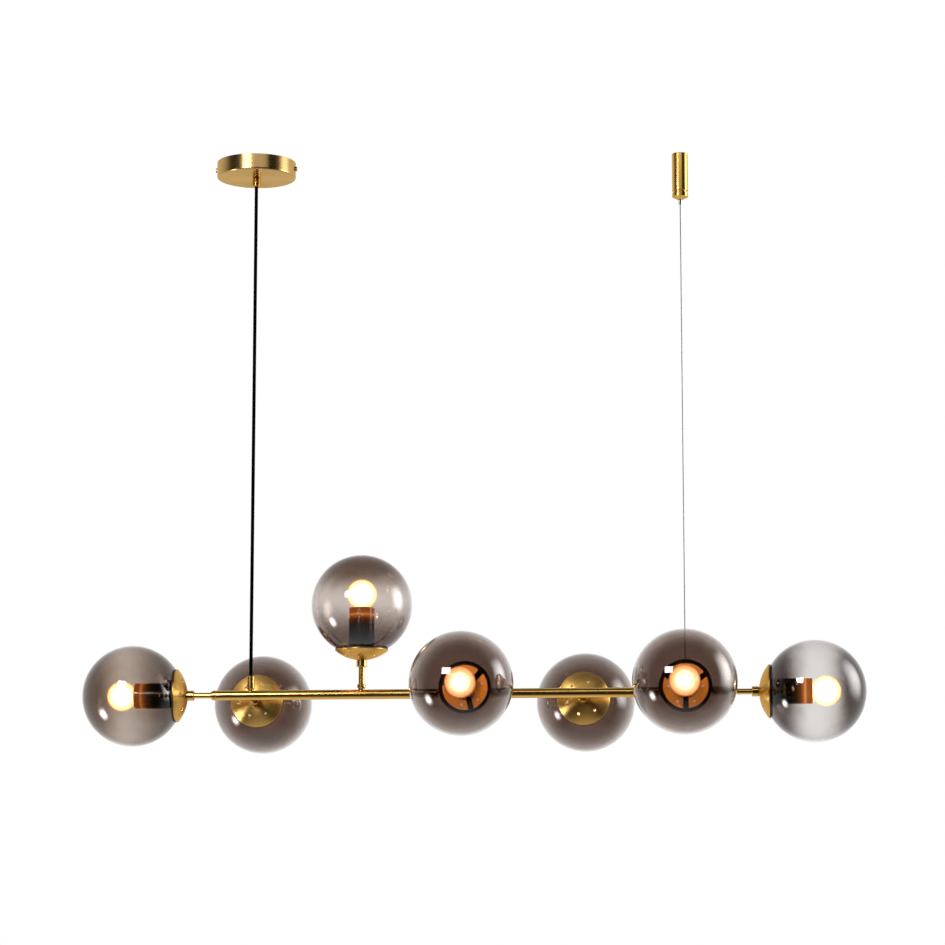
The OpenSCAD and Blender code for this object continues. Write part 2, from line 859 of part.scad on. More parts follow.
// Collars: threaded sleeves that join an arm tube to the nipple through the cap
module cap_collars() {
    r = collar_d / 2;
    color(brass)
        for (i = heads)
            at_head(i)
                difference() {
                    rotate_extrude()
                        polygon([
                            [0, collar_z],
                            [r - collar_chamfer, collar_z],
                            [r, collar_z + collar_chamfer],
                            [r, cap_z - 2 * collar_chamfer],
                            [r - collar_chamfer, cap_z - collar_chamfer],
                            [r - collar_chamfer, cap_z],
                            [0, cap_z]
                        ]);
                    translate([0, 0, collar_z - 1])
                        cylinder(r = arm_r + seat_gap, h = tube_grip + 1);
                    translate([0, 0, collar_z])
                        cylinder(r = arm_r - arm_wall, h = collar_h);
                    translate([0, 0, nipple_foot_z])
                        cylinder(r = nipple_r + seat_gap, h = collar_h);
                }
}

// Nipples: hollow threaded rods from the collar through the cap into the lampholder
module holder_nipples() {
    color(steel)
        for (i = heads)
            at_head(i)
                pipe(nipple_r, nipple_bore / 2, nipple_foot_z, nipple_top_z);
}

// Nuts that clamp the cap and the spring strips on the nipples
module glass_clip_nuts() {
    color(steel)
        for (i = heads)
            at_head(i)
                translate([0, 0, cap_in_z + clip_sheet])
                    hex_nut(nipple_r + seat_gap, nut_af, nut_h);
}

// Cap: a spun dome with a flat for the collar, a straight rim band and a ring of vents
module cap(i) {
    color(brass)
        at_head(i)
            difference() {
                rotate_extrude()
                    difference() {
                        dome_section(cap_r, dome_r, cap_z);
                        dome_section(cap_r - cap_sheet, dome_r - cap_sheet, cap_in_z);
                    }
                translate([0, 0, cap_z - 1])
                    cylinder(r = nipple_r + seat_gap, h = 4);
                for (k = [0 : vents - 1])
                    rotate([0, 0, 360 * k / vents])
                        vent_hole();
            }
}

module dome_section(rim_r, r, flat_z) {
    intersection() {
        translate([0, dome_centre_z])
            circle(r = r, $fn = 180);
        translate([0, flat_z])
            square([rim_r, dome_z - flat_z + 0.01]);
    }
    translate([0, dome_z])
        square([rim_r, cap_band + (r < dome_r ? 1 : 0)]);
}

// One vent, drilled square to the dome
module vent_hole() {
    lean = asin(vent_ring_d / 2 / dome_r);
    translate([0, 0, dome_centre_z])
        rotate([0, lean + 180, 180])
            translate([0, 0, dome_r - 3])
                cylinder(d = vent_d, h = 6);
}

// Spring strips: a flat washer with fingers that pass inside the rubber ring and grip the glass in its neck
module glass_clips() {
    finger_r = neck_bore_r - run_gap;
    slim_r = cap_r - gasket_w - run_gap;
    foot_z = cap_in_z;
    bend_z = rim_z - 1;
    jog_low = neck_z - 0.4;
    jog_high = neck_z + 1.2;
    finger_top = neck_z + clip_finger_h;
    color(black)
        for (i = heads)
            at_head(i)
                difference() {
                    union() {
                        translate([0, 0, foot_z])
                            cylinder(r = flat_r - 1, h = clip_sheet);
                        for (k = [0 : clips - 1])
                            rotate([90, 0, 360 * k / clips + 30])
                                translate([0, 0, -clip_w / 2])
                                    linear_extrude(clip_w)
                                        polygon([
                                            [3, foot_z],
                                            [flat_r - 1, foot_z],
                                            [slim_r, bend_z - clip_sheet],
                                            [slim_r, jog_low],
                                            [finger_r, jog_high],
                                            [finger_r, finger_top],
                                            [finger_r - clip_sheet, finger_top],
                                            [finger_r - clip_sheet, jog_high + clip_sheet / 2],
                                            [slim_r - clip_sheet, jog_low + clip_sheet / 2],
                                            [slim_r - clip_sheet, bend_z],
                                            [flat_r - 1, foot_z + clip_sheet],
                                            [3, foot_z + clip_sheet]
                                        ]);
                    }
                    translate([0, 0, foot_z - 1])
                        cylinder(r = nipple_r + seat_gap, h = 4);
                }
}

// Rubber rings: they sit on the cap's rim, with a skirt inside its straight band
module glass_gaskets() {
    inner_r = cap_r - gasket_w;
    outer_r = cap_r - 0.3;
    skirt_r = cap_r - cap_sheet - seat_gap / 2;
    color(black)
        for (i = heads)
            at_head(i)
                rotate_extrude()
                    polygon([
                        [inner_r, rim_z - cap_band],
                        [skirt_r, rim_z - cap_band],
                        [skirt_r, rim_z],
                        [outer_r, rim_z],
                        [outer_r, rim_z + gasket_h],
                        [inner_r, rim_z + gasket_h]
                    ]);
}

// Lampholder: a moulded sleeve with a rounded shoulder, a bead and a partition inside
module lampholder(i) {
    wire_space_r = cavity_r - 1;
    bead_z = mouth_plane - holder_bead_place;
    color(black)
        at_head(i)
            difference() {
                rotate_extrude() {
                    translate([0, holder_z])
                        square([holder_r - holder_shoulder, holder_shoulder + 0.01]);
                    intersection() {
                        translate([holder_r - holder_shoulder, holder_z + holder_shoulder])
                            circle(r = holder_shoulder);
                        translate([holder_r - holder_shoulder - 0.01, holder_z])
                            square([holder_shoulder + 0.01, holder_shoulder + 0.01]);
                    }
                    translate([0, holder_z + holder_shoulder])
                        square([holder_r, holder_h - holder_shoulder]);
                    translate([0, bead_z - 1])
                        square([holder_r + holder_bead, 2]);
                }
                translate([0, 0, cavity_floor_z])
                    cylinder(r = cavity_r, h = mouth_plane - cavity_floor_z + 1);
                translate([0, 0, holder_z + entry_h])
                    cylinder(r = wire_space_r, h = chamber_z - holder_z - entry_h);
                translate([0, 0, holder_z - 1])
                    cylinder(r = nipple_r + seat_gap, h = entry_h + 2);
            }
}

// Contacts: the thin screw shell and the spring tongue in every lampholder
module socket_contacts() {
    shell_top = base_rim_z - 1;
    tongue = [10, 4, 0.6];
    color(brass)
        for (i = heads)
            at_head(i) {
                pipe(shell_r + shell_sheet, shell_r, shell_top - shell_h, shell_top);
                translate([-tongue.x / 2, -tongue.y / 2, cavity_floor_z])
                    cube(tongue);
                translate([0, 0, cavity_floor_z + tongue.z])
                    cylinder(r1 = tongue.y / 2, r2 = 1.6, h = contact_h - tongue.z);
            }
}

// Globe: a blown sphere cut flat at the neck
module globe(i) {
    color(smoke, 0.45)
        at_head(i)
            rotate_extrude()
                intersection() {
                    difference() {
                        circle(r = globe_r, $fn = 180);
                        circle(r = glass_in_r, $fn = 180);
                    }
                    translate([0, neck_z])
                        square([globe_r + 1, globe_r + 1 - neck_z]);
                }
}

// Bulb's glass: a hollow ball with a short neck
module bulb_glass(i) {
    color("#ffe2b0", 0.8)
        at_head(i)
            rotate_extrude()
                difference() {
                    bulb_section(bulb_r, bulb_neck_r, glass_foot_z);
                    bulb_section(bulb_r - bulb_wall, bulb_neck_r - bulb_wall, glass_foot_z - 1);
                }
}

module bulb_section(ball_r, tube_r, foot_z) {
    intersection() {
        translate([0, bulb_centre_z])
            circle(r = ball_r);
        translate([0, bulb_centre_z - ball_r - 1])
            square([ball_r + 1, 2 * ball_r + 2]);
    }
    translate([0, foot_z])
        square([tube_r, bulb_centre_z - foot_z]);
}

// Bulb's base: a screw cap with its insulator and contact button
module bulb_base(i) {
    straight_z = base_rim_z - base_h;
    button_z = straight_z - insulator_h;
    button_r = 3.6;
    insulator_r = base_r - 4;
    cup_r = base_r - base_sheet - 1;
    color(steel)
        at_head(i)
            difference() {
                rotate_extrude()
                    polygon([
                        [0, base_tip_z],
                        [button_r, base_tip_z],
                        [button_r + 1, button_z],
                        [insulator_r, button_z],
                        [base_r, straight_z],
                        [base_r, base_rim_z],
                        [0, base_rim_z]
                    ]);
                translate([0, 0, glass_foot_z])
                    cylinder(r = base_r - base_sheet, h = base_h);
                translate([0, 0, straight_z + 1])
                    cylinder(r = cup_r, h = base_h);
            }
}

canopy();
canopy_bracket();
canopy_screws();
canopy_cord_grip();
canopy_grip_nut();
terminal_block();
supply_leads();
anchor_plug();
anchor_barrel();
anchor_end_nut();
anchor_plunger();
suspension_cord();
suspension_wire();
bar_cord_grip();
bar_wire_socket();
bar_tube();
bar_end_rings();
bar_bosses();
arm_tubes();
cap_collars();
holder_nipples();
glass_clip_nuts();
glass_clips();
glass_gaskets();
socket_contacts();
for (i = heads) {
    cap(i);
    lampholder(i);
    globe(i);
    bulb_glass(i);
    bulb_base(i);
}
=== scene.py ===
# %% [markdown]
# # A linear pendant light with seven smoked globes
#
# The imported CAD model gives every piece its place. This script gives the lamp its looks: it turns the visible
# brass, glass and moulded pieces again with rounded edges, and makes a procedural material for each surface.
# Turned pieces are worked out in millimetres about their own Z axis and then put in place, and each point keeps
# those first coordinates in the attribute "local", so that one material can brush any piece round its own axis.

# %% Load the frame
import json

import bmesh
import bpy
import numpy as np
from mathutils import Matrix

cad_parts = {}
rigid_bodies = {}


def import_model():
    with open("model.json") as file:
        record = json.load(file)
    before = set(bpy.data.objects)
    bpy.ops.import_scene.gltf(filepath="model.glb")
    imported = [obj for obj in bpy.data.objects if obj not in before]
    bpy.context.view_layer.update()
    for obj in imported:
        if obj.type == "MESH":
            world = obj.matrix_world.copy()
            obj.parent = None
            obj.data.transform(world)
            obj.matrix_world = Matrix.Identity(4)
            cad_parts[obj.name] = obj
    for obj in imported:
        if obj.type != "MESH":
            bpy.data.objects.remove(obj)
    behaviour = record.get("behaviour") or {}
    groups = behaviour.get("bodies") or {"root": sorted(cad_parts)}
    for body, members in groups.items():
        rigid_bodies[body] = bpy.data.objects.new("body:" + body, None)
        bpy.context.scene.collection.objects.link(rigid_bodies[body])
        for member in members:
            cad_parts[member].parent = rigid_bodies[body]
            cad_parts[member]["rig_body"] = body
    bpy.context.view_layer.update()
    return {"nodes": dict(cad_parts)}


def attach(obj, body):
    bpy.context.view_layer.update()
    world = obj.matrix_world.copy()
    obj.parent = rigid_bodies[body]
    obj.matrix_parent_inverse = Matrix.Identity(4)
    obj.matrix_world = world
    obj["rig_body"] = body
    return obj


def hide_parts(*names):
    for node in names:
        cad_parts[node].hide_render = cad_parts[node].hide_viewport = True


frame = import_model()
nodes = frame["nodes"]
scene = bpy.context.scene
MM = 0.001
print("CAD nodes:", len(nodes))

# %% [markdown]
# ## Sizes
#
# These repeat the CAD model's own sizes, in millimetres. Heights in a globe head count from the globe's centre,
# with +Z pointing away from the bar.

# %% Sizes
BAR_X, BAR_Z = 329.0, -815.0
BAR_R, BAR_WALL, BAR_HALF = 7.25, 1.2, 381.0
WIRE_X = 646.0
ARM_R, ARM_WALL = 4.25, 1.0
GLOBE_R, GLASS, NECK_R = 75.0, 2.0, 38.8
NECK_Z = -np.sqrt(GLOBE_R**2 - NECK_R**2)
LIP_R = np.sqrt((GLOBE_R - GLASS) ** 2 - NECK_Z**2)
CAP_R, CAP_DEPTH, CAP_SHEET, CAP_BAND, FLAT_R = 39.5, 15.0, 1.0, 1.4, 9.0
RIM_Z = NECK_Z - 2.2
CAP_Z = RIM_Z - CAP_DEPTH
DOME_H = CAP_DEPTH - CAP_BAND
DOME_RISE = (CAP_R**2 - FLAT_R**2 + DOME_H**2) / (2 * DOME_H)
DOME_R = np.hypot(DOME_RISE, FLAT_R)
DOME_Z = CAP_Z + DOME_RISE
VENT_R, VENT_RING_R, VENTS = 2.0, 25.0, 6
COLLAR_Z = CAP_Z - 11.0
HOLDER_R, MOUTH_Z, HOLDER_Z = 19.0, -4.0, -65.0
CAVITY_R, CAVITY_Z = 14.0, -43.3
BULB_R, BULB_Z, BULB_WALL = 22.5, 16.5, 0.9
BASE_TIP_Z, BASE_R = -39.0, 13.0
BASE_RIM_Z = -12.0
BULB_NECK_R = 12.45

# place along the bar, reach from it, turn about X or Y, spin about the arm
HEADS = {
    "left": (-BAR_HALF, 125.5, "Y", -90, 30),
    "right": (BAR_HALF, 125.5, "Y", 90, 30),
    "top": (-163.0, 133.0, "Y", 0, 30),
    "front_left": (0.0, 165.0, "X", 90, 16),
    "front_right": (319.0, 165.0, "X", 90, 0),
    "back_left": (-335.0, 165.0, "X", -90, -7),
    "back_right": (162.0, 165.0, "X", -90, -13),
}
ON_BAR = ["top", "front_left", "front_right", "back_left", "back_right"]


def moved(x, y, z):
    """The 4x4 matrix of a move, in millimetres."""
    return np.array(Matrix.Translation((x, y, z)))


def turned_by(degrees, axis):
    """The 4x4 matrix of a turn about one axis."""
    return np.array(Matrix.Rotation(np.radians(degrees), 4, axis))


def at_bar(head):
    """Origin on the bar's axis below a head, +Z along its arm."""
    place, _, axis, turn, _ = HEADS[head]
    return moved(BAR_X + place, 0, BAR_Z) @ turned_by(turn, axis)


def at_head(head):
    """Origin at a globe's centre, +Z away from the arm."""
    return at_bar(head) @ moved(0, 0, HEADS[head][1]) @ turned_by(HEADS[head][4], "Z")


ALONG_BAR = moved(BAR_X, 0, BAR_Z) @ turned_by(90, "Y")
print("heads:", ", ".join(HEADS))

# %% [markdown]
# ## Camera
#
# The outlines of the seven globes, the canopy and the bar in the photograph were fitted with a perspective view.
# The camera stands a little right of the middle and below the bar, and looks up. A shifted lens would keep cord and
# wire parallel to within a pixel more, but the shift stays in every other view of the lamp and pushes its globes out
# of the picture. So the lens isn't shifted.

# %% Camera
FOCAL_PX, PHOTO_PX, SENSOR_MM = 3100.0, 945.0, 36.0
camera_data = bpy.data.cameras.new("camera")
camera_data.sensor_width = SENSOR_MM
camera_data.lens = FOCAL_PX * SENSOR_MM / PHOTO_PX
camera_data.clip_end = 50.0
camera = bpy.data.objects.new("camera", camera_data)
camera.location = (0.7234, -4.5622, -1.2270)
camera.rotation_euler = np.radians([90.0 + 9.22, 0.0, 4.91])
scene.collection.objects.link(camera)
scene.camera = camera
scene.view_settings.view_transform = "Standard"
print("lens: %.1f mm" % camera_data.lens)

# %% [markdown]
# ## Surfaces in numpy
#
# Nearly every piece of this lamp comes off a lathe, a spinning chuck or a glass blower's pipe, so it is round about one
# axis. A Screw modifier on a drawn profile could make it too. Here numpy works out one grid of points instead: an
# outline turned about Z. Each corner of the outline gets its own rounding, as a real edge has, and the finished mesh
# needs no modifier.


# %% Grid surfaces
def sheet(points, uv):
    """A surface from a grid of points (rows, columns, 3).

    Cell (i, k) is the face (i, k), (i, k+1), (i+1, k+1), (i+1, k).
    """
    rows, columns = points.shape[:2]
    index = np.arange(rows * columns).reshape(rows, columns)
    quads = np.stack([index[:-1, :-1], index[:-1, 1:], index[1:, 1:], index[1:, :-1]], axis=-1).reshape(-1, 4)
    return points.reshape(-1, 3), quads, uv.reshape(-1, 2)


def turned(outline, segments=96):
    """Turns an outline of (r, z) points about Z.

    Point k of ring i is (r_i cos a_k, r_i sin a_k, z_i), with a_k = 2 pi k / segments. The last column repeats
    the first, and the weld in make_piece joins the two. Faces look outwards when the outline runs anticlockwise
    round the material, seen with r to the right and z up.
    """
    angle = np.linspace(0, 2 * np.pi, segments + 1)
    r, z = outline[:, :1], outline[:, 1:]
    points = np.stack([r * np.cos(angle), r * np.sin(angle), z + 0 * angle], axis=-1)
    length = np.concatenate([[0], np.cumsum(np.hypot(*np.diff(outline, axis=0).T))])
    u, v = np.meshgrid(angle / (2 * np.pi), length / length[-1])
    return sheet(points, np.stack([u, v], axis=-1))


print("faces round a turned tube:", len(turned(np.array([(1.0, 0.0), (1.0, 2.0)]))[1]))

# %% [markdown]
# ## Rounded outlines
#
# No real edge is sharp. The small radius that a tool or a former leaves catches a thin line of light, and the eye
# reads solid metal from it. A Bevel modifier gives every edge one width. Rounding the outline before it is turned
# costs a few points, and each corner can have its own radius.


# %% Rounded outlines
def rounded(corners, radius=0.3, steps=3):
    """Rounds an outline's corners. A corner is (r, z), or (r, z, own radius), and corners on the axis stay.

    With unit vectors u and v towards the neighbours and h half the angle between them, the arc touches both
    sides at reach = radius / tan h from the corner, and its centre lies reach / cos h along u + v. One more
    point just outside each end of the arc keeps the flat sides flat when the surface is shaded smooth.
    """
    path = []
    flat = [np.array(c[:2], float) for c in corners]
    for i, corner in enumerate(corners):
        p = flat[i]
        bend = corner[2] if len(corner) > 2 else radius
        if bend == 0 or p[0] == 0:
            path.append(p)
            continue
        u, v = flat[i - 1] - p, flat[(i + 1) % len(flat)] - p
        lu, lv = np.linalg.norm(u), np.linalg.norm(v)
        u, v = u / lu, v / lv
        half = 0.5 * np.arccos(np.clip(u @ v, -1, 1))
        reach = min(bend / np.tan(half), 0.42 * lu, 0.42 * lv)
        centre = p + (u + v) / np.linalg.norm(u + v) * reach / np.cos(half)
        start, end = p + u * reach - centre, p + v * reach - centre
        way = np.sign(start[0] * end[1] - start[1] * end[0])
        path.append(p + u * min(1.5 * reach, 0.49 * lu))
        for a in way * (np.pi - 2 * half) * np.linspace(0, 1, steps + 1):
            c, s = np.cos(a), np.sin(a)
            path.append(centre + [start[0] * c - start[1] * s, start[0] * s + start[1] * c])
        path.append(p + v * min(1.5 * reach, 0.49 * lv))
    if flat[0][0] > 0:
        path.append(path[0])
    return np.array(path)


def arc(radius, centre_z, start, end, count):
    """Points (r, z) on a circle centred on the axis, from one angle to another, in degrees above the equator."""
    a = np.radians(np.linspace(start, end, count))
    return np.stack([radius * np.cos(a), centre_z + radius * np.sin(a)], axis=-1)


print("points of a rounded square:", len(rounded([(1, 0), (3, 0), (3, 2), (1, 2)])))

# %% [markdown]
# ## Pieces from surfaces
#
# A piece may have several surfaces and stand at several places. Objects could be moved and turned one by one, but
# in the shared frame each object stays at the origin, so the points themselves are moved. foreach_set fills a mesh
# from whole arrays, which is far quicker than adding face after face.


# %% Pieces
def make_piece(name, surfaces, places, material, node=None, body=None, weld=1e-6):
    """One mesh object from surfaces in millimetres, put at every place, riding with its CAD node's body."""
    points = np.concatenate([s[0] for s in surfaces])
    starts = np.cumsum([0] + [len(s[0]) for s in surfaces[:-1]])
    quads = np.concatenate([s[1] + start for s, start in zip(surfaces, starts)])
    uv = np.concatenate([s[2] for s in surfaces])[quads].reshape(-1, 2)
    placed = np.concatenate([(points @ m[:3, :3].T + m[:3, 3]) * MM for m in places])
    faces = np.concatenate([quads + k * len(points) for k in range(len(places))])
    mesh = bpy.data.meshes.new(name)
    mesh.vertices.add(len(placed))
    mesh.vertices.foreach_set("co", placed.astype(np.float32).ravel())
    mesh.loops.add(faces.size)
    mesh.loops.foreach_set("vertex_index", faces.astype(np.int32).ravel())
    mesh.polygons.add(len(faces))
    mesh.polygons.foreach_set("loop_start", np.arange(0, faces.size, 4, dtype=np.int32))
    mesh.polygons.foreach_set("use_smooth", np.ones(len(faces), bool))
    mesh.uv_layers.new(name="turn").data.foreach_set("uv", np.tile(uv, (len(places), 1)).astype(np.float32).ravel())
    local = mesh.attributes.new("local", "FLOAT_VECTOR", "POINT")
    local.data.foreach_set("vector", np.tile(points, (len(places), 1)).astype(np.float32).ravel())
    mesh.update(calc_edges=True)
    weld_mesh(mesh, weld)
    mesh.materials.append(material)
    piece = bpy.data.objects.new(name, mesh)
    scene.collection.objects.link(piece)
    if node:
        body = nodes[node]["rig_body"]
        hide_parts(node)
    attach(piece, body)
    return piece


def turned_piece(name, outline, radius, segments, places, material, node):
    """One turned piece from its outline's corners, rounded with radius."""
    return make_piece(name, [turned(rounded(outline, radius), segments)], places, material, node)


def weld_mesh(mesh, distance):
    """Joins points that coincide, such as the seam of a turned piece and its poles."""
    work = bmesh.new()
    work.from_mesh(mesh)
    bmesh.ops.remove_doubles(work, verts=work.verts, dist=distance)
    work.to_mesh(mesh)
    work.free()


print("piece tools ready")

# %% [markdown]
# ## Shader tools
#
# A material is a tree of nodes. In the Shader Editor each tree would take dozens of clicks, so one small function
# adds a node with its settings and links, and the others use it for what every material needs.


# %% Shader tools
def colour(code):
    """A hex code such as #c9a14a as linear red, green, blue and alpha."""
    v = np.array([int(code[i : i + 2], 16) for i in (1, 3, 5)]) / 255
    return (*np.where(v <= 0.04045, v / 12.92, ((v + 0.055) / 1.055) ** 2.4), 1.0)


def add(tree, kind, inputs=None, **settings):
    """Adds a node with its settings. inputs maps a socket to a value or to the output that feeds it."""
    made = tree.nodes.new(kind)
    for key, value in settings.items():
        setattr(made, key, value)
    for key, value in (inputs or {}).items():
        if isinstance(value, bpy.types.NodeSocket):
            tree.links.new(value, made.inputs[key])
        else:
            made.inputs[key].default_value = value
    return made


def new_material(name, **sockets):
    """A material with one Principled shader and those socket values; returns material, tree and shader."""
    material = bpy.data.materials.new(name)
    material.use_nodes = True
    tree = material.node_tree
    shader = tree.nodes["Principled BSDF"]
    for key, value in sockets.items():
        shader.inputs[key.replace("_", " ")].default_value = value
    return material, tree, shader


def formula(tree, operation, a, b=0.0, c=0.0):
    """One Math node's result."""
    return add(tree, "ShaderNodeMath", {0: a, 1: b, 2: c}, operation=operation).outputs[0]


def ramp(tree, factor, stops):
    """A colour ramp through (position, hex code) stops."""
    made = add(tree, "ShaderNodeValToRGB", {"Fac": factor})
    made.color_ramp.interpolation = "B_SPLINE"
    elements = made.color_ramp.elements
    while len(elements) < len(stops):
        elements.new(0.5)
    for element, (position, code) in zip(elements, stops):
        element.position = position
        element.color = colour(code)
    return made.outputs["Color"]


print("pure white is", colour("#ffffff"))

# %% [markdown]
# ## Patterns on a piece
#
# Tool marks run along a piece's axis or round it. Generated coordinates would stretch a pattern to each piece's box,
# and UVs would squeeze it towards the axis. The attribute "local" is in millimetres and stays with the piece when it
# moves, so the marks keep their real size. Noise that reads only radius and height is the same all round: rings.


# %% Patterns
def turned_coordinates(tree):
    """A turned piece's own coordinates in millimetres: distance from its axis, height, and all three."""
    place = add(tree, "ShaderNodeAttribute", attribute_name="local").outputs["Vector"]
    parts = add(tree, "ShaderNodeSeparateXYZ", {0: place})
    flat = add(tree, "ShaderNodeCombineXYZ", {0: parts.outputs[0], 1: parts.outputs[1]}).outputs[0]
    radius = add(tree, "ShaderNodeVectorMath", {0: flat}, operation="LENGTH").outputs["Value"]
    return radius, parts.outputs[2], place


def noise_at(tree, place, scale, detail=2.0):
    """A noise texture's value."""
    return add(tree, "ShaderNodeTexNoise", {"Vector": place, "Scale": scale, "Detail": detail}).outputs["Fac"]


def ring_noise(tree, radius, height, per_mm):
    """Noise that is the same all round the axis: it runs over the distance from the axis and the height."""
    across, along = formula(tree, "MULTIPLY", radius, per_mm), formula(tree, "MULTIPLY", height, per_mm)
    return noise_at(tree, add(tree, "ShaderNodeCombineXYZ", {0: across, 1: along}).outputs[0], 1.0)


def between(tree, value, low, high, start=0.3, end=0.7):
    """Maps a noise value to a range."""
    return add(
        tree, "ShaderNodeMapRange", {"Value": value, "From Min": start, "From Max": end, "To Min": low, "To Max": high}
    ).outputs["Result"]


print("pattern tools ready")

# %% [markdown]
# ## Brass
#
# The bar and the arms are drawn through a die, the fittings are turned, and the canopy and the caps are spun from
# sheet. All this brass is polished and lacquered. A picture of brushed metal could show the tool marks, but it would
# have to be unwrapped onto every piece. Noise that is stretched along the tool's way gives streaks on a tube and
# rings on a spun cap at any size. On spun brass the highlight also spreads across the rings, which is the shader's
# Anisotropic. The specular tint keeps the brass yellow where it is seen at a low angle.


# %% Brass
def brass(name, tone, deep, rough, lines, pull=0.0, inside=0.0):
    """Lacquered brass with tool marks in its tone and roughness, and a slow drift of tone.

    lines is how often the marks repeat per millimetre across and along the axis. A spun piece is brushed round
    its axis, so its gloss spreads across the rings (pull), and a cap's inner skin is rougher by inside.
    """
    material, tree, shader = new_material(name, Metallic=1.0, Anisotropic=pull, Anisotropic_Rotation=0.25)
    shader.inputs["Specular Tint"].default_value = colour("#efdfbd")
    radius, height, place = turned_coordinates(tree)
    if pull:
        marks = ring_noise(tree, radius, height, lines[0])
    else:
        streak = add(tree, "ShaderNodeVectorMath", {0: place, 1: (lines[0], lines[0], lines[1])}, operation="MULTIPLY")
        marks = noise_at(tree, streak.outputs[0], 1.0)
    drift = noise_at(tree, place, 0.03)
    mixed = formula(tree, "MULTIPLY_ADD", drift, 0.5, formula(tree, "MULTIPLY", marks, 0.5))
    tree.links.new(ramp(tree, mixed, [(0.35, deep), (0.6, tone)]), shader.inputs["Base Color"])
    roughness = between(tree, marks, rough - 0.04, rough + 0.04)
    if inside:
        # the inner skin lies nearer to the dome's centre than the outer one
        centre = add(tree, "ShaderNodeVectorMath", {0: place, 1: (0, 0, DOME_Z)}, operation="DISTANCE").outputs["Value"]
        roughness = formula(tree, "ADD", roughness, between(tree, centre, inside, 0.0, DOME_R - 0.7, DOME_R - 0.3))
    tree.links.new(roughness, shader.inputs["Roughness"])
    bump = add(tree, "ShaderNodeBump", {"Strength": 0.08, "Distance": 0.00003, "Height": marks})
    tree.links.new(bump.outputs["Normal"], shader.inputs["Normal"])
    if pull:
        tangent = add(tree, "ShaderNodeTangent", direction_type="UV_MAP", uv_map="turn")
        tree.links.new(tangent.outputs[0], shader.inputs["Tangent"])
    return material


# bar, arms and fittings: drawn and turned brass, polished, so narrow bands of light run along it
tube_brass = brass("drawn_brass", "#e2b76a", "#d3a557", 0.2, (0.8, 0.03))
# caps: sheet brass spun over a former and brushed round its axis, so the light fans out from the middle
spun_brass = brass("spun_brass", "#e3b566", "#d1a152", 0.32, (1.5, 1.5), pull=0.85, inside=0.25)
# canopy: the same spun sheet under a duller lacquer, so its flat underside is an even tan
canopy_brass = brass("canopy_brass", "#cfab74", "#bf9a60", 0.26, (1.5, 1.5), pull=0.6)
print("brass ready:", ", ".join(m.name for m in (tube_brass, spun_brass, canopy_brass)))

# %% [markdown]
# ## Plated and plain metals
#
# Screws, nuts, strips and contacts are small and seen in glimpses. Their plating or oxide is a thin even skin, so
# tool marks aren't drawn. One fine noise keeps the highlights from looking like glass, and tone and roughness tell
# zinc, nickel, black steel and brass apart.


# %% Plain metals
def cast_metal(name, tone, deep, rough, grain=400.0):
    """Plain machined or plated metal on the CAD pieces: a fine grain in tone, roughness and bump."""
    material, tree, shader = new_material(name, Metallic=1.0)
    place = add(tree, "ShaderNodeTexCoord").outputs["Object"]
    noise = noise_at(tree, place, grain, 4.0)
    tree.links.new(ramp(tree, noise, [(0.35, deep), (0.65, tone)]), shader.inputs["Base Color"])
    tree.links.new(between(tree, noise, rough - 0.06, rough + 0.06), shader.inputs["Roughness"])
    bump = add(tree, "ShaderNodeBump", {"Strength": 0.15, "Distance": 0.0001, "Height": noise})
    tree.links.new(bump.outputs["Normal"], shader.inputs["Normal"])
    return material


# canopy screws: cut from brass bar and lacquered, bright with a fine grain
screw_brass = cast_metal("screw_brass", "#d9a657", "#b98439", 0.25)
# bracket, nuts, nipples and plug: pressed or cut steel with zinc plating, blue-white and half matt
zinc = cast_metal("zinc_plated_steel", "#b9bcc0", "#9a9da3", 0.35)
# bulb bases and plunger: nickel plating, a slightly warm mirror
nickel = cast_metal("nickel_plated_steel", "#d3d3d0", "#aaa9a6", 0.18)
# spring strips in the caps: blackened spring steel, an oxide skin with a dull shine
black_steel = cast_metal("black_spring_steel", "#232326", "#141416", 0.38)
# screw shells and contacts: stamped brass without lacquer, a little browned
contact_brass = cast_metal("contact_brass", "#cfa24d", "#a87c34", 0.28)
print("metals ready")

# %% [markdown]
# ## Wire rope
#
# The wire is a rope of bright steel strands. Their twist is modelled in the mesh further down, because a bump alone
# leaves the outline straight. The material only darkens the grooves: partly for the grease that a real rope holds
# there, partly as painted shade.


# %% Wire rope
def wire_metal():
    """Bright strands with darkened grooves between them, grease and painted shade, found by the distance from the
    rope's axis.
    """
    material, tree, shader = new_material("steel_wire_rope", Metallic=1.0, Roughness=0.32)
    radius, _, _ = turned_coordinates(tree)
    # darker grooves between the strands: grease, and painted shade
    groove = between(tree, radius, 0.0, 1.0, 0.55, 0.75)
    tree.links.new(ramp(tree, groove, [(0.1, "#1e1f1f"), (0.8, "#6d6f6d")]), shader.inputs["Base Color"])
    return material


rope_metal = wire_metal()
print("rope steel ready")

# %% [markdown]
# ## Plastics and rubber
#
# Moulded pieces carry the fine grain of their mould. One flat colour looks like paint in a close view, so one noise
# drives tone, roughness and bump together, as on the real surface, where a high spot is both paler and more worn.


